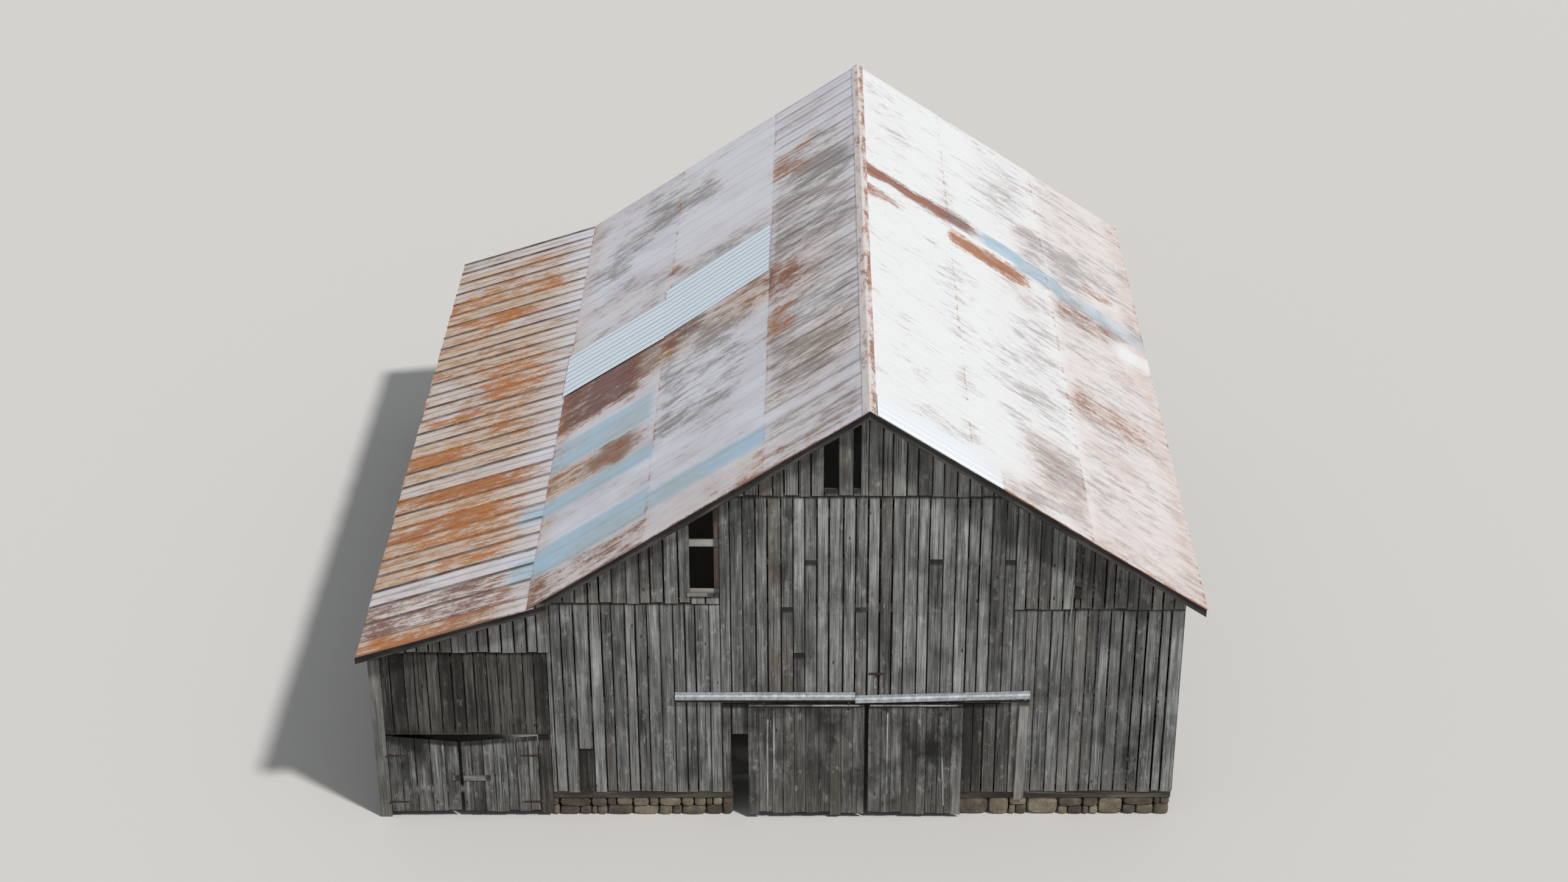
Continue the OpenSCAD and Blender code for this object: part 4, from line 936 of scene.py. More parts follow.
# Each slope lies with x down it: where it starts, its sheets' lap rib, crimp and belly, and how
# much the feet of the sheets stray
slopes = {
    "right": {"place": ridgePlace @ Matrix.Rotation(mainAngle, 4, "Y"), "rib": 0.0035,
              "crimp": 0.004, "bulge": 0.012, "stray": 0.016, "slot": "roof_sheets"},
    "left": {"place": ridgePlace @ toLeft @ Matrix.Rotation(mainAngle, 4, "Y"), "rib": 0.007,
             "crimp": 0.004, "bulge": 0.012, "stray": 0.016, "slot": "roof_sheets"},
    "shed": {"place": shedPlace @ toLeft @ Matrix.Rotation(shedAngle, 4, "Y"), "rib": 0.0155,
             "crimp": 0.002, "bulge": 0.0, "stray": 0.03, "slot": "rusted_sheets"},
}
# Across a sheet in mm from its left lap, with the height of the lap rib and of the crimp
profile = [(-25, 0, 0), (-10, 1, 0), (10, 1, 0), (25, 0, 0), (110, 0, 0), (200, 0, 0),
           (289, 0, 0), (300, 0, 0.8), (305, 0, 1), (310, 0, 0.8), (321, 0, 0), (410, 0, 0),
           (500, 0, 0), (585, 0, 0), (600, 1, 0), (620, 1, 0), (635, 0, 0)]


def sheetTree():
    tree, add, given = openTree("ribbed sheets on points", {
        "Rows": 15, "Rib": 0.016, "Crimp": 0.007, "Dent": 0.003, "Foot lift": 0.005,
        "Bulge": 0.0, "Bulge at": 3.46})
    sheets, known = spread(add, given, add("grid", 1.0, 1.0, given["Rows"], len(profile)),
                           ("size",), ("own",))
    long, wide, stray = add("parts", known["size"])
    along, across = [add("plus", part, 0.5) for part in add("parts", known["unit"])[:2]]
    # three curves across the sheet: where each row of vertices lies, lap rib and crimp
    start, last = profile[0][0], len(profile) - 1
    width = profile[-1][0] - start
    columns = zip(*[((mm - start) / width, rib, crimp) for mm, rib, crimp in profile])
    place, rib, crimp = [
        add("curve", across, bends=[(i / last, height) for i, height in enumerate(column)])
        for column in columns]
    # sheets end unevenly at their feet
    x = add("timesPlus", add("times", add("minus", known["own"], 0.5), along), stray,
            add("times", along, long))
    y = add("times", add("minus", place, 0.5), wide)
    flatPlace = add("vector plus", known["start"], add("join", x, y))
    # shallow dents half a metre across, and a belly midway down the slope
    dent = add("noise", add("vector times", flatPlace, (1.5, 3.1, 1)), 1.0, 1.0)
    away = add("absolute", add("minus", add("parts", flatPlace)[0], given["Bulge at"]))
    belly = add("ease", away, 2.6, 0.0)
    # a sheet falls 3.5 mm across, so that its left lap lies on its neighbour
    z = blend(add, [(crimp, given["Crimp"]), (along, given["Foot lift"]), (across, -0.0035),
                    (dent, given["Dent"]), (belly, given["Bulge"])],
              add("times", rib, given["Rib"]))
    sheets = add("moved", sheets, add("vector plus", flatPlace, add("join", 0.0, 0.0, z)))
    closeTree(add, given, sheets, ("unit", "size", "own"), sheetPos=known["position"],
              sheetCoat=add("join", place, along, known["own"]))
    return tree


def corrugatedTree():
    tree, add, given = openTree("narrow-ribbed sheets on points", {
        "Pitch": 0.229, "Depth": 0.016, "Columns": 49})
    sheets, known = spread(add, given, add("grid", 1.0, 1.0, 5, given["Columns"]),
                           ("size",), ("own",))
    size = add("vector times", known["size"], (1, 1, 0))
    onSheet = add("vector times", add("vector plus", known["unit"], (0.5, 0.5, 0)), size)
    placed = add("vector plus", onSheet, known["start"])
    turns = add("fraction", add("over", add("parts", placed)[1], given["Pitch"]))
    beside = add("absolute", add("minus", turns, 0.5))
    wave = add("map", beside, 1 / 12, 0.0)    # a rib takes a sixth of the pitch
    unitX, unitY = add("parts", known["unit"])[:2]
    z = add("timesPlus", wave, given["Depth"], add("times", unitY, -0.003))
    # a sheet laid askew: its foot lies to one side of its head
    askew = add("times", add("plus", unitX, 0.5), add("parts", known["size"])[2])
    sheets = add("store", sheets, "sheetCoat", add("join", beside, 0.5, known["own"]))
    sheets = add("moved", sheets, add("vector plus", placed, add("join", 0.0, askew, z)))
    closeTree(add, given, sheets, ("unit", "size", "own"), sheetPos=known["position"])
    return tree


def zone(y0, y1, s0, s1, **parts):
    return y0, y1, s0, s1, parts


# Stains, one by one: metres back from the front wall, metres down from the ridge or the kick,
# then what is there: rust, how dark red it is, blue zinc, grime, laps, white, and warm wash
stains = {
    "left": [
        zone(-0.5, 18, -1, 2.4, grime=0.2, lap=0.5, wash=0.25),
        zone(-0.5, 18, 2.4, 8.2, grime=-0.06, lap=0.14),
        zone(-0.5, 18, -1, 0.3, grime=-0.2, wash=-0.2),
        zone(2.8, 4.8, 0.1, 2.3, grime=0.14, wash=0.15),
        zone(5.0, 6.4, 0.1, 2.3, grime=0.16),
        zone(6.9, 7.8, 0.1, 2.3, grime=0.14),
        zone(9.2, 10.8, 0.1, 2.3, grime=0.2),
        zone(11.3, 15.1, 0.1, 2.3, grime=0.14),
        zone(-0.6, -0.33, -1, 8.2, rust=0.7, red=0.7),
        zone(-0.5, 0.7, 2.4, 3.0, rust=0.4, red=0.3, wash=0.5),
        zone(-0.5, 0.75, 3.0, 5.2, rust=0.14, red=0.5, wash=0.3),
        zone(-0.5, 0.72, 5.2, 8.2, rust=0.46, red=0.8, wash=0.5, grime=0.2),
        zone(-0.5, 0.4, -1, 2.4, rust=0.2, red=0.4),
        zone(1.62, 1.8, 0.1, 2.4, grime=-1.2, wash=-0.6, lap=-1),
        zone(0.82, 1.55, 2.4, 5.3, blue=1.0, grime=-0.5),
        zone(0.68, 1.83, 5.2, 8.2, blue=1.0, grime=-0.5),
        zone(3.05, 3.72, 5.2, 8.2, blue=1.0, grime=-0.5),
        zone(4.89, 6.1, 5.3, 8.2, blue=0.9, grime=-0.4),
        zone(3.7, 4.95, 5.7, 8.2, rust=0.36, red=0.3, grime=0.4, wash=0.9),
        zone(3.75, 4.9, 5.8, 6.8, rust=0.14, red=0.3, grime=0.35),
        zone(6.4, 9.2, 5.7, 7.8, rust=0.66, red=1.0, grime=0.4, wash=0.5),
        zone(7.0, 9.2, 5.8, 7.2, rust=0.26, red=0.2),
        zone(6.6, 8.6, 7.5, 8.2, rust=0.3, red=0.3, wash=0.7, grime=0.2),
        zone(7.0, 8.8, 2.5, 6.2, grime=0.4, wash=0.55),
        zone(7.7, 8.7, 3.8, 5.1, rust=0.5, red=1.0, grime=0.2),
        zone(7.1, 8.8, 4.8, 5.4, rust=0.36, red=0.3, wash=0.4),
        zone(7.3, 8.75, 2.3, 3.6, rust=0.42, red=0.7, wash=0.3),
        zone(3.1, 4.6, 0.3, 1.7, rust=0.16, red=0.8, grime=0.16, wash=0.2),
        zone(6.6, 8.9, 0.9, 2.4, rust=0.36, red=0.6, wash=0.2),
        zone(7.0, 8.7, 1.6, 2.45, rust=0.3),
        zone(5.0, 6.6, 1.6, 2.45, rust=0.46),
        zone(9.2, 11.3, 0.5, 2.0, rust=0.2, red=0.9),
        zone(11.6, 13.6, 0.3, 1.8, grime=0.2),
        zone(13.2, 15.3, 1.2, 2.45, rust=0.42),
        zone(15.0, 18.5, -1, 2.4, grime=-0.2, wash=-0.15),
        zone(2.0, 2.6, 1.9, 2.45, rust=0.44),
        zone(0.0, 1.0, 1.9, 2.45, rust=0.3),
        zone(10.9, 12.3, 2.6, 5.2, grime=0.26, wash=0.2),
        zone(15.0, 17.0, 3.9, 5.2, grime=0.2, wash=0.15),
        zone(13.0, 15.2, 6.2, 7.8, grime=0.14),
        zone(15.2, 17.6, 5.2, 8.0, grime=0.2, wash=0.12),
        zone(11.2, 12.2, 4.5, 5.3, rust=0.36, red=0.3),
        zone(3.7, 7.1, 3.1, 5.2, grime=0.42, wash=0.06),
        zone(4.6, 6.2, 2.4, 3.3, grime=0.14),
        zone(2.3, 4.0, 3.4, 5.0, grime=0.12),
        zone(10.4, 12.7, 5.2, 7.8, grime=0.22, wash=0.15),
        zone(12.7, 15.4, 6.2, 7.9, grime=0.26),
        zone(14.6, 17.2, 3.9, 6.2, grime=0.26),
        zone(12.2, 16.2, 2.4, 3.8, grime=-0.14),
        zone(12.0, 18.5, 2.4, 5.2, white=0.25),
        zone(12.4, 14.6, 5.2, 6.2, grime=-0.2),
        zone(2.0, 6.5, 2.4, 3.1, grime=-0.12),
        zone(-0.5, 18, 7.6, 8.2, rust=0.2, wash=0.3),
    ],
    "shed": [
        zone(-0.5, 18, -1, 4.5, grime=0.08, lap=1.1, wash=1.0),
        zone(-0.5, 18, -1, 0.9, grime=-0.12, wash=-0.85, lap=-0.3),
        zone(-0.6, -0.33, -1, 4.5, rust=0.6, red=0.6),
        zone(-0.5, 18, 0.6, 5.4, rust=0.28),
        zone(1.43, 2.05, 0.3, 4.5, wash=-0.7, rust=-0.3),
        zone(2.05, 2.65, 0.9, 3.4, rust=0.24),
        zone(3.2, 3.85, 0.9, 3.6, rust=0.3),
        zone(3.85, 4.5, 0.9, 2.4, rust=0.3),
        zone(3.85, 4.5, 2.1, 4.6, rust=0.36, red=0.15),
        zone(4.5, 5.1, 1.0, 2.6, rust=0.12),
        zone(5.1, 5.7, 0.6, 4.4, rust=0.42, red=0.12, grime=0.2),
        zone(5.7, 6.4, 0.3, 4.5, wash=-0.4, rust=-0.14),
        zone(6.95, 7.6, 2.5, 4.0, rust=0.42),
        zone(6.95, 8.2, 0.9, 2.9, rust=0.12, grime=0.14),
        zone(8.1, 8.8, 3.0, 4.2, wash=-0.4, rust=-0.12),
        zone(8.1, 8.8, 1.1, 2.3, rust=0.2, grime=0.1),
        zone(8.8, 9.4, 2.4, 4.2, rust=0.28),
        zone(9.4, 10.6, 0.7, 2.9, rust=0.3),
        zone(9.1, 10.6, 2.4, 4.0, wash=-0.4, rust=-0.1),
        zone(10.6, 11.2, 0.7, 3.0, rust=0.27),
        zone(10.6, 11.2, 3.0, 4.4, wash=-0.45, rust=-0.12),
        zone(11.8, 12.4, 1.8, 3.4, grime=0.16),
        zone(12.9, 13.6, 0.3, 2.3, wash=-0.35, rust=-0.16),
        zone(12.9, 13.6, 2.2, 3.4, rust=0.16, grime=0.2),
        zone(13.6, 14.2, 1.5, 3.6, rust=0.36),
        zone(14.8, 15.4, 0.7, 4.6, rust=0.28),
        zone(15.4, 16.0, 0.9, 3.4, rust=0.24),
        zone(15.7, 16.5, 0.3, 4.5, wash=-0.3),
        zone(16.5, 17.1, 1.8, 2.9, rust=0.12),
        zone(17.0, 18.5, 0.3, 4.5, wash=-0.5, rust=-0.2),
        zone(-0.5, 0.15, 1.2, 5.2, rust=0.3),
        zone(0.15, 0.75, 0.8, 5.2, rust=0.3),
        zone(0.75, 1.43, 1.0, 4.6, rust=0.24),
        zone(0.15, 1.43, 0.9, 4.5, red=0.95, grime=0.2, wash=-0.4),
        zone(-0.5, 0.15, 0.6, 2.2, red=0.5),
        zone(0.75, 1.6, -1, 0.96, blue=1.0),
        zone(3.08, 3.72, -1, 0.82, blue=1.0),
    ],
    "right": [
        zone(-0.5, 18, -1, 8.2, white=1.0, grime=0.02, lap=0.0),
        zone(-0.5, 18, 2.2, 2.6, grime=0.14),
        zone(-0.5, 18, 3.6, 5.2, grime=0.16, wash=0.08),
        zone(-0.5, 18, 5.25, 8.2, grime=0.14, wash=0.42),
        zone(-0.6, -0.33, 3.0, 8.2, rust=0.9, red=0.6, white=-0.5),
        zone(-0.5, 2.4, 4.6, 8.2, wash=0.12),
        zone(-0.5, 0.35, 3.0, 8.2, wash=0.2),
        zone(-0.5, 18, 7.5, 8.2, wash=0.3, rust=0.12, red=0.2),
        zone(-0.5, 0.6, 3.0, 3.95, wash=0.3, rust=0.15, grime=0.2),
        zone(0.2, 2.9, 3.9, 5.2, wash=0.7, rust=0.26, red=0.5, grime=0.28),
        zone(10.2, 10.85, -1, 1.13, rust=0.62, red=0.5, grime=0.2),
        zone(11.26, 11.9, -1, 2.3, rust=0.85, red=0.7, grime=0.7),
        zone(11.35, 11.95, 2.3, 3.1, rust=0.7, red=1.0, grime=0.9, white=-0.6),
        zone(11.35, 11.95, 3.12, 3.26, rust=1.2, red=1.0),
        zone(10.15, 11.0, 2.35, 4.7, rust=0.82, red=0.35),
        zone(11.25, 11.95, 3.3, 4.4, blue=0.9, white=-0.8, grime=0.2),
        zone(11.0, 11.8, 4.3, 5.5, blue=0.75, white=-0.8, grime=0.2),
        zone(10.85, 11.6, 5.4, 6.7, blue=0.5, white=-0.6, grime=0.2),
        zone(10.7, 11.5, 6.6, 8.2, blue=0.4, white=-0.5, grime=0.15),
        zone(9.8, 10.9, 5.25, 7.1, rust=0.46, red=0.6, grime=0.3, wash=0.5),
        zone(9.6, 10.3, 6.9, 8.2, grime=-0.5, wash=-0.6, rust=-0.4),
        zone(11.9, 13.9, 4.4, 5.2, rust=0.2, red=0.6, grime=0.3, wash=0.3),
        zone(11.9, 13.9, 5.2, 6.3, grime=0.2, white=-0.25),
        zone(12.1, 12.7, 6.2, 7.3, rust=0.55, red=0.4),
        # painted shadow: a darker grey patch near the rear eave, where a shadow falls on the slope
        zone(12.7, 13.9, 6.3, 7.5, grime=0.2, white=-0.4),
        zone(5.2, 6.5, 5.25, 7.5, rust=0.46, red=0.5, grime=0.2, wash=0.5),
        zone(3.4, 4.3, 5.6, 6.8, rust=0.1, grime=0.15, wash=0.3),
        zone(8.1, 9.0, 6.8, 7.6, rust=0.2, red=0.4, wash=0.3),
        zone(9.2, 10.2, 3.9, 4.9, wash=0.25, grime=0.1),
        zone(3.6, 5.4, 2.5, 5.0, grime=0.14),
        zone(2.8, 3.6, 0.5, 1.2, grime=0.24),
        zone(0.5, 2.4, 0.6, 2.3, grime=0.1),
        zone(12.5, 16.5, 0.4, 1.4, grime=0.14),
        zone(14.4, 15.6, 2.6, 4.6, grime=0.16),
    ],
}


# How softly a stain's edges fade, in metres: sharp at laps and on blue sheets, sharp beside
# each single sheet of the shed
fading = {"sharp": 0.1, "share": 0.55, "most": 0.8,
          "shedAside": 0.12, "shedShare": 0.8, "shedMost": 1.1}
lapLines = ((2.25, 2.46), (5.15, 5.31))


def stained(value, low, high, fadeLow, fadeHigh):
    return held(0.5 + (value - low) / fadeLow) * held(0.5 - (value - high) / fadeHigh)


def fades(side, y0, y1, s0, s1, parts):
    aside = down = min(fading["most"], fading["share"] * min(y1 - y0, s1 - s0))
    if "blue" in parts:
        aside = down = fading["sharp"]
    elif side == "shed":
        aside = fading["shedAside"]
        down = min(fading["shedMost"], fading["shedShare"] * (s1 - s0))
    ends = [fading["sharp"] if any(a < s < b for a, b in lapLines) else down for s in (s0, s1)]
    return (aside, aside), ends


def stainSheets(mesh, side, extra=()):
    spots = [point.vector[:2] for point in mesh.attributes["sheetPos"].data]
    zones = [(area, *fades(side, *area)) for area in stains[side]]
    tones, wears, reds, washes = [], [], [], []
    for down, over in spots:
        back = barn["wallY"] + (over if side == "right" else -over)
        total = dict.fromkeys(
            ("rust", "red", "blue", "fresh", "grime", "lap", "white", "wash"), 0.0)
        for (y0, y1, s0, s1, parts), asides, ends in zones:
            share = stained(back, y0, y1, *asides) * stained(down, s0, s1, *ends)
            for key, amount in parts.items():
                total[key] += amount * share
        total.update(extra)
        tones.append((total["rust"], held(total["blue"]), total["fresh"]))
        wears.append((total["grime"], max(0.0, total["lap"]), held(total["white"])))
        reds.append(held(total["red"]))
        washes.append(held(total["wash"]))
    for key, values in (("sheetTone", tones), ("sheetWear", wears), ("sheetRed", reds),
                        ("sheetWash", washes)):
        writeField(mesh, key, values)


def cover(name, rows, tree, values, thickness, side, slot, *nodes, extra=()):
    piece = grow(name, rows, tree, {"Finish": roofIron, **values}, thickness=thickness)
    stainSheets(piece.data, side, extra)
    piece.data.transform(slopes[side]["place"])
    settle(piece, "barn", slot, *nodes)


# Each course: slope, down from and to, how far its foot lifts on to the next course, solids
courses = {
    "top_left_sheets": ("left", 0.01, 2.39, 0.006, "top_sheets"),
    "top_right_sheets": ("right", 0.01, 2.39, 0.006, "top_sheets"),
    "middle_left_sheets": ("left", 2.24, 5.19, 0.006, "middle_sheets"),
    "middle_right_sheets": ("right", 2.24, 5.19, 0.006, "middle_sheets"),
    "low_left_sheets": ("left", 5.04, 7.94, 0.0, "low_sheets"),
    "low_right_sheets": ("right", 5.04, 7.94, 0.0, "low_sheets"),
    "shed_roof_sheets": ("shed", 0.24, 3.964, 0.0, "shed_sheets"),
}
sheeting = {"count": 30, "lap": 0.05, "sunk": 0.001, "thick": 0.0025}


def laySheets():
    count, lap = sheeting["count"], sheeting["lap"]
    pitch = 2 * barn["roofHalf"] / count
    for order, (name, (side, head, foot, lift, node)) in enumerate(courses.items()):
        dice = random.Random(300 + order)
        slope = slopes[side]
        rows = []
        for i in range(count):
            # the outermost sheets stop at the gable edge, without their outer lap
            inward = (lap / 2 if i == 0 else 0.0) - (lap / 2 if i == count - 1 else 0.0)
            rows.append({
                "place": (head, -barn["roofHalf"] + (i + 0.5) * pitch + inward,
                          covering - sheeting["sunk"]),
                "size": (foot - head, pitch + lap - 2 * abs(inward), slope["stray"]),
                "own": dice.random(),
            })
        values = {"Foot lift": lift, "Rib": slope["rib"], "Crimp": slope["crimp"],
                  "Bulge": slope["bulge"]}
        cover(name, rows, ribbed, values, sheeting["thick"], side, slope["slot"], node)


# Newer ribbed sheets laid over the old ones: slope, areas as metres back from and to, down from
# and to and how far the foot lies aside, and what their skin is like
patches = {
    "left_new_sheets": ("left", [(8.75, 11.13, 2.42, 5.27, 0.24),
                                 (8.44, 10.38, 5.2, 7.97, -0.06)],
                        {"fresh": 0.95, "rust": -0.6, "blue": 0.0}),
    "right_new_sheets": ("right", [(-0.36, 0.5, 0.14, 3.02, 0.0)],
                         {"fresh": 0.3, "rust": -0.6, "white": 1.0, "grime": -0.3}),
}
patching = {"width": 0.9, "lap": 0.06, "height": 0.0555, "thick": 0.0015}


def layPatches():
    for order, (name, (side, areas, extra)) in enumerate(patches.items()):
        dice = random.Random(400 + order)
        rows = []
        for y0, y1, s0, s1, skew in areas:
            count = max(1, round((y1 - y0) / patching["width"]))
            wide = (y1 - y0) / count
            for i in range(count):
                back = y0 + wide * i
                near = back - barn["wallY"] if side == "right" else barn["wallY"] - back - wide
                rows.append({"place": (s0, near - patching["lap"] / 2, patching["height"]),
                             "own": dice.random(),
                             "size": (s1 - s0, wide + patching["lap"], skew)})
        cover(name, rows, corrugated, {}, patching["thick"], side, "roof_sheets", extra=extra)


ribbed = sheetTree()
corrugated = corrugatedTree()
laySheets()
layPatches()
print("roof sheeted")


# ridge cap: six bent lengths that lap each other

cap = {"lengths": 6, "step": 3.05, "long": 3.11, "end": 9.148, "top": 9.6042, "steps": 12,
       "bend": ((0.13, 0.13 * barn["mainSlope"]), (0.07, 0.07 * barn["mainSlope"]),
                (0.018, 0.0105)), "peak": 0.0015,
       "lift": 0.0015, "thick": 0.003, "ripple": 0.004, "ripples": 3.1, "inner": 0.2,
       "sink": 0.4, "red": 0.55, "wear": (0.12, 0.0, 0.5), "stretch": (1.6, 1.4),
       "rust": 0.3, "rustRight": 0.28, "rustLeft": -0.1}


def ridgeCap():
    dice = random.Random(51)
    across = [(-x, -z) for x, z in cap["bend"]] + [(0.0, -cap["peak"])]
    across += [(x, -z) for x, z in reversed(cap["bend"])]
    last = len(across) - 1
    vertices, faces, coats = [], [], []
    for length in range(cap["lengths"]):
        y0 = -cap["end"] + length * cap["step"]
        y1 = min(cap["end"], y0 + cap["long"])
        own = dice.random()
        lift = cap["lift"] if length % 2 else 0.0
        for j in range(cap["steps"] + 1):
            y = y0 + (y1 - y0) * j / cap["steps"]
            base = len(vertices)
            for k, (x, z) in enumerate(across):
                wave = cap["ripple"] * math.sin(cap["ripples"] * y + 2 * k)
                wave *= 1 if k in (0, last) else cap["inner"]
                vertices.append((x + wave, y, cap["top"] + z + lift - abs(wave) * cap["sink"]))
                coats.append((0.5, 0.5, own))
                if j and k:
                    behind = base - len(across)
                    faces.append((base + k - 1, behind + k - 1, behind + k, base + k))
    mesh = newMesh("ridge_cap_lengths", vertices, faces, roofIron)
    count = len(vertices)
    # the right flange is rustier than the left one
    rust = [cap["rust"] + cap["rustRight"] * (x > 0.05) + cap["rustLeft"] * (x < -0.1)
            for x, y, z in vertices]
    alongX, acrossX = cap["stretch"]
    for key, values in (
            ("sheetPos", [(y * alongX, x * acrossX, z) for x, y, z in vertices]),
            ("sheetCoat", coats), ("sheetTone", [(amount, 0.0, 0.0) for amount in rust]),
            ("sheetWear", [cap["wear"]] * count),
            ("sheetRed", [cap["red"]] * count), ("sheetWash", [cap["red"]] * count)):
        writeField(mesh, key, values)
    piece = newObject("ridge_cap_lengths", mesh)
    bake(piece, Matrix.Translation((barn["ridgeX"], 0, 0)), cap["thick"])
    settle(piece, "barn", "rusted_sheets", "ridge_cap")


ridgeCap()
print("ridge capped")


# fieldstone foundation: two courses in two skins, every stone its own size

def stoneTree():
    tree, add, given = openTree("stones on points", {"Rough": 0.035})
    stones, known = spread(add, given, add("cube", (1, 1, 1), 5, 3, 5), ("size", "turn"))
    # corners are rounded by pulling in what is far from the middle
    far = add("dot", known["unit"], known["unit"])
    pull = add("map", far, 0.3, 0.75, 1.0, 0.8)
    sized = add("vector times", add("scaled", known["unit"], pull), known["size"])
    # lumps of 140 mm
    lumps = add("noise", add("vector plus", known["start"], sized), 7.0, 2.0, out=1)
    lumps = add("scaled", add("vector minus", lumps, (0.5, 0.5, 0.5)), given["Rough"])
    turned = add("turned", add("vector plus", sized, lumps), known["turn"])
    stones = add("moved", stones, add("vector plus", known["start"], turned))
    closeTree(add, given, stones, ("unit", "size", "turn"))
    return tree


# Wall runs from the ridge line: start, end, and the way from the outer face into the wall
foundationRuns = [
    ((-9.825, -8.725), (-9.64, -8.725), (0, 1)), ((-6.59, -8.725), (-2.69, -8.725), (0, 1)),
    ((1.88, -8.725), (6.245, -8.725), (0, 1)), ((-9.825, 8.725), (6.245, 8.725), (0, -1)),
    ((6.245, -8.32), (6.245, 8.32), (-1, 0)), ((-9.825, -8.32), (-9.825, 8.32), (1, 0)),
]
padPlaces = [(x, y) for x in (-6.145, -2.89, 2.89) for y in (-4.3125, 0.0, 4.3125)]
stoneWork = {"high": 0.44, "joint": 0.012, "skins": (0.1, 0.3), "long": (0.3, 0.66),
             "shortest": 0.2, "split": (0.17, 0.27), "thick": 0.192, "thinner": 0.03,
             "pad": (0.44, 0.44, 0.142), "padZ": 0.075, "lowest": 0.012, "crumb": 0.02,
             "single": 0.16, "narrow": 0.25, "part": (0.35, 0.65)}


# one tall stone, or one long stone with two short ones over or under it
def stoneStack(dice, step):
    high = stoneWork["high"]
    split = dice.uniform(*stoneWork["split"])
    part = step * dice.uniform(*stoneWork["part"])
    if step < stoneWork["narrow"] or dice.random() < stoneWork["single"]:
        return [(0, step, 0, high)]
    if dice.random() < 0.5:
        return [(0, step, 0, split), (0, part, split, high), (part, step, split, high)]
    return [(0, part, 0, split), (part, step, 0, split), (0, step, split, high)]


def layStones():
    dice = random.Random(61)
    rows = []
    joint = stoneWork["joint"]
    for (x0, y0), (x1, y1), (inX, inY) in foundationRuns:
        length = math.hypot(x1 - x0, y1 - y0)
        ux, uy = (x1 - x0) / length, (y1 - y0) / length
        for skin in stoneWork["skins"]:
            at = 0.0
            while at < length - stoneWork["crumb"]:
                step = min(dice.uniform(*stoneWork["long"]), length - at)
                if length - at - step < stoneWork["shortest"]:
                    step = length - at
                for a, b, low, top in stoneStack(dice, step):
                    middle = at + (a + b) / 2
                    rows.append({
                        "place": (x0 + ux * middle + inX * skin, y0 + uy * middle + inY * skin,
                                  (low + top) / 2),
                        "size": (b - a - joint,
                                 stoneWork["thick"] - dice.uniform(0.0, stoneWork["thinner"]),
                                 top - low - joint),
                        "turn": (0.0, 0.0, math.atan2(uy, ux)),
                        "stoneTone": dice.random(),
                    })
                at += step
    for x, y in padPlaces:
        rows.append({"place": (x, y, stoneWork["padZ"]), "size": stoneWork["pad"],
                     "turn": (0.0, 0.0, 0.0), "stoneTone": dice.random()})
    for row in rows:
        x, y, z = row["place"]
        half = row["size"][2] / 2
        row["place"] = (x, y, max(z - half, stoneWork["lowest"]) + half)
    piece = grow("foundation_stones", rows, stoneTree(), {"Finish": fieldStone, "Rough": 0.03},
                 Matrix.Translation((barn["ridgeX"], 0, 0)))
    settle(piece, "barn", "foundation_stone", "foundation")


layStones()
print("stones laid")


# nails and bolts

def studTree():
    tree, add, given = openTree("stud heads on points", {
        "Radius": 0.006, "Height": 0.004, "Sides": 6})
    stud = add("cylinder", given["Sides"], given["Radius"], given["Height"])
    lift = add("times", given["Height"], 0.3)
    stud = add("shifted", stud, add("join", 0.0, 0.0, lift))
    studs = add("copies", given["Geometry"], stud, add("facing", add("known", "out")))
    closeTree(add, given, add("realize", studs), ("out",))
    return tree


studsOnPoints = studTree()
# Radius and height of each sort of head, then where the bolts of the hangers and of the strap
# hinges stand, and how far in front of the wall
heads = {"nail": (0.006, 0.003), "bolt": (0.011, 0.012), "strap": (0.007, 0.006)}
bolts = {"inset": 0.32, "plate": (2.69, 2.78), "axle": 2.8995, "depth": 0.078}
straps = {"hinges": {"left": -9.64, "right": -6.59}, "steps": (0.09, 0.2, 0.32), "depth": 0.031}


def driveStuds(name, body, rows, sort):
    radius, height = heads[sort]
    piece = grow(name, rows, studsOnPoints,
                 {"Finish": rustyIron, "Radius": radius, "Height": height})
    settle(piece, body, "track_iron")


def boltRows(spots, depth):
    return [{"place": (barn["ridgeX"] + x, -barn["wallY"] - depth, z), "out": (0, -1, 0)}
            for x, z in spots]


def driveNails():
    for body, rows in nailPoints.items():
        driveStuds(body + "_nails", body, rows, "nail")
    for node in ("left_door", "right_door"):
        door = hung[node]
        places = (door["from"] + bolts["inset"], door["to"] - bolts["inset"])
        spots = [(x, z) for x in places for z in bolts["plate"]]
        spots += [(x, bolts["axle"]) for x in places]
        driveStuds(door["body"] + "_bolts", door["body"], boltRows(spots, bolts["depth"]), "bolt")
    for side, way in (("left", 1), ("right", -1)):
        body = hung[side + "_leaf"]["body"]
        spots = [(straps["hinges"][side] + way * step, z) for step in straps["steps"]
                 for z in leaf["ledges"]]
        driveStuds(body + "_bolts", body, boltRows(spots, straps["depth"]), "strap")


driveNails()


# A forged iron tee, left over from the old door gear, above the middle of the track
tee = {"x": 0.05, "long": 0.3, "z": 3.4, "high": 0.1, "band": 0.045, "thick": 0.007,
       "stem": 0.4, "sunk": 0.003}


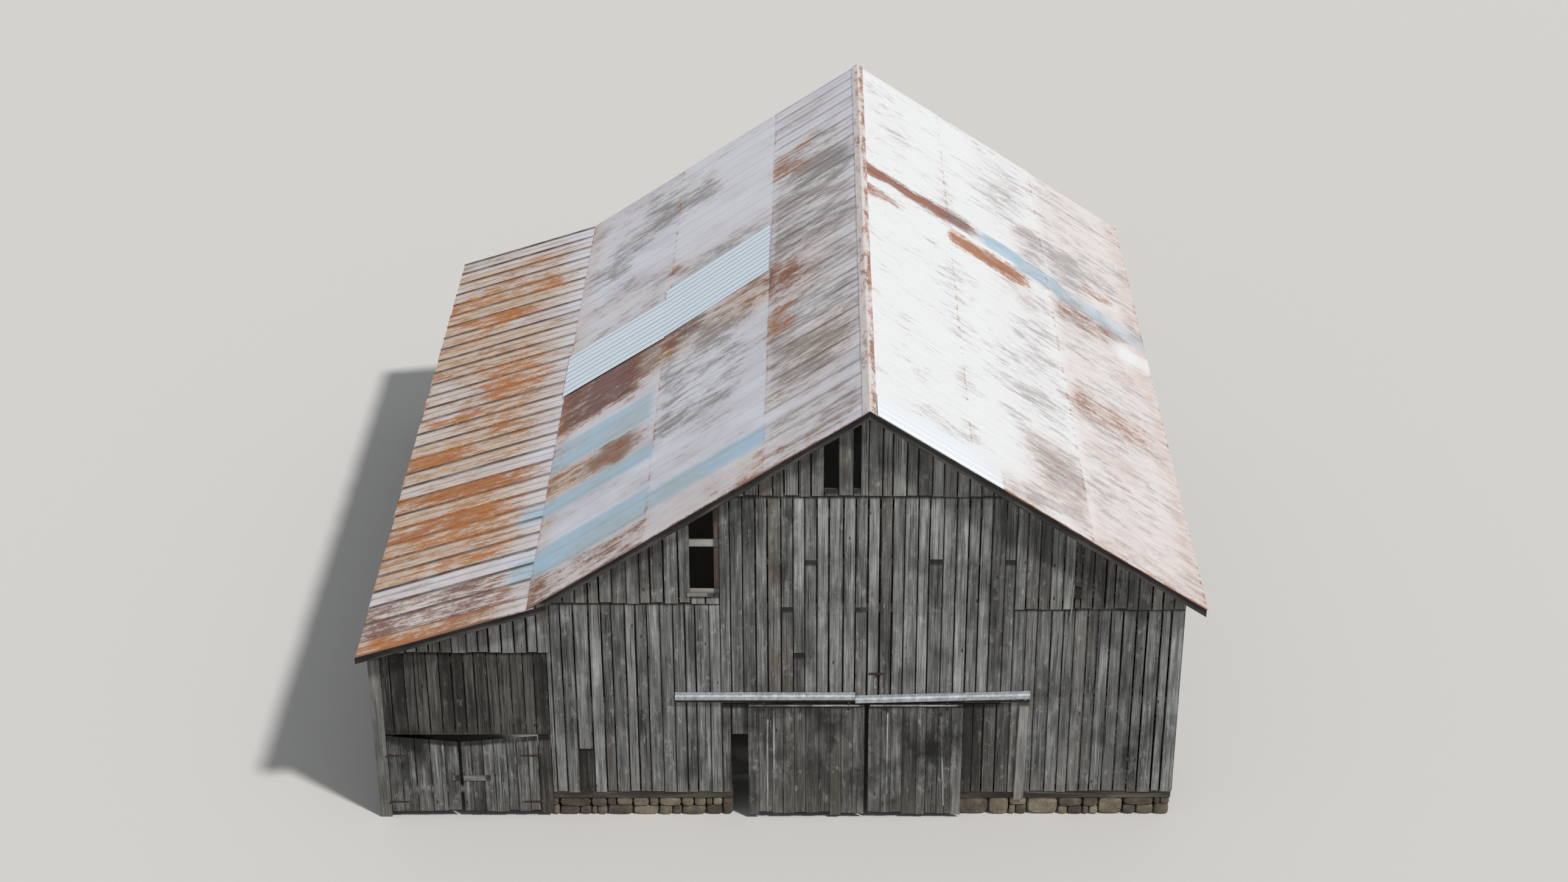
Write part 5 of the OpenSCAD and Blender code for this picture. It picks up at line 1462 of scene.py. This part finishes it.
def hangTee():
    x0, z1 = tee["x"], tee["z"] + tee["high"]
    x1, z0 = x0 + tee["long"], z1 - tee["band"]
    stem0 = x0 + tee["stem"] * tee["long"]
    stem1 = stem0 + tee["band"]
    # the outline is a few millimetres off square all round, as forged work is
    outline = [(x0, z0 + 0.006), (stem0, z0), (stem0 + 0.004, tee["z"]), (stem1, tee["z"]),
               (stem1 + 0.004, z0), (x1, z0 + 0.004), (x1 + 0.008, z1 - 0.02),
               (x1, z1 - 0.003), (stem0 + 0.02, z1), (x0 + 0.004, z1 - 0.004),
               (x0 - 0.006, z1 - 0.022)]
    count = len(outline)
    front = -barn["wallY"] - tee["thick"] - tee["sunk"]
    back = -barn["wallY"] + tee["sunk"]
    vertices = [(barn["ridgeX"] + x, y, z) for y in (front, back) for x, z in outline]
    faces = [tuple(range(count)), tuple(range(2 * count - 1, count - 1, -1))]
    faces += [(i, i + count, (i + 1) % count + count, (i + 1) % count) for i in range(count)]
    mesh = newMesh("iron_tee", vertices, faces, rustyIron)
    settle(newObject("iron_tee", mesh), "barn", "track_iron")


hangTee()
print("nails driven")


# Finishes of the timbers, by the way each runs, and of the track and ironwork
finishes = {
    "posts": timbers["Z"], "wall_girts": timbers["X"], "tie_beams": timbers["X"],
    "knee_braces": timbers["X"], "plates": timbers["Y"], "shed_ledger": timbers["Y"],
    "ridge_board": timbers["Y"], "main_rafters": timbers["X"], "shed_rafters": timbers["X"],
    "roof_lath": timbers["Y"], "sills": weathered["X"], "door_jambs": weathered["Z"],
    "door_headers": weathered["X"], "left_strap_hinges": rustyIron,
    "right_strap_hinges": rustyIron, "pintles": rustyIron, "door_track": blackIron,
    "left_hangers": blackIron, "right_hangers": blackIron, "track_hoods": trackZinc,
    "rake_boards": rakeBoards,
}
for node, finish in finishes.items():
    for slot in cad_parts[node].material_slots:
        slot.material = finish
print("frame finished")


# floor, light and camera

stage = {
    "floor": "#d9d7d4", "reach": 400.0, "sky": "#eef2f7", "horizon": 0.22, "zenith": 0.4,
    "backdrop": 0.92, "sun": 2.55, "sunSize": 5.0, "sunColour": (1.0, 0.985, 0.96),
    "sunFrom": (0.50, -0.37, 0.78),    # from the right, a little in front, and high
}
# The fitted camera: place in metres, turns in radians, and focal length, frame width and
# middle in the photo's pixels
view = {"place": (0.6869, -52.7207, 32.8445), "yaw": -0.0168515, "pitch": -0.4831351,
        "roll": -0.0094138, "focal": 1800.09, "wide": 1067.0, "middle": (1240.0, 757.0),
        "photoMiddle": (1288.0, 724.5), "sensor": 36.0}


def setFloor():
    material, add = newMaterial("plain pale floor")
    closeMaterial(add, material, colour=stage["floor"], rough=0.9)
    reach = stage["reach"]
    corners = [(-reach, -reach, 0), (reach, -reach, 0), (reach, reach, 0), (-reach, reach, 0)]
    newObject("floor", newMesh("floor", corners, [(0, 1, 2, 3)], material))


def setLight():
    world = bpy.data.worlds.new("studio")
    bpy.context.scene.world = world
    world.use_nodes = True
    world.node_tree.nodes.clear()
    add = partial(put, world.node_tree)
    rays = add("rays")
    seen = add("larger", rays["Is Camera Ray"], rays["Is Glossy Ray"])
    seen = add("larger", seen, rays["Is Transmission Ray"])
    # the soft light comes from above: half as strong at the horizon
    up = add("parts", add("skyPlace"))[2]
    level = add("map", up, 0.0, 1.0, stage["horizon"], stage["zenith"])
    plain = (stage["backdrop"], stage["backdrop"], stage["backdrop"], 1)
    add("worldOut", add("either", seen, add("sky", stage["sky"], level), add("sky", plain, 1.0)))
    lamp = bpy.data.lights.new("key", "SUN")
    lamp.energy = stage["sun"]
    lamp.angle = math.radians(stage["sunSize"])
    lamp.color = stage["sunColour"]
    key = newObject("key", lamp)
    key.rotation_euler = Vector(stage["sunFrom"]).to_track_quat("Z", "Y").to_euler()


def setCamera():
    right, forward, up = (
        Matrix.Rotation(view["yaw"], 3, "Z") @ Matrix.Rotation(view["pitch"], 3, "X")
        @ Matrix.Rotation(view["roll"], 3, "Y")).col
    camera = bpy.data.cameras.new("camera")
    camera.sensor_width = view["sensor"]
    camera.lens = view["sensor"] * view["focal"] / view["wide"]
    camera.shift_x = (view["middle"][0] - view["photoMiddle"][0]) / view["wide"]
    camera.shift_y = (view["photoMiddle"][1] - view["middle"][1]) / view["wide"]
    camera.clip_start = 0.5
    camera.clip_end = 1000.0
    holder = newObject("camera", camera)
    turn = Matrix((right, up, -forward)).transposed().to_4x4()
    holder.matrix_world = Matrix.Translation(view["place"]) @ turn
    bpy.context.scene.camera = holder
    bpy.context.scene.view_settings.view_transform = "Standard"


setFloor()
setLight()
setCamera()
print("stage set")
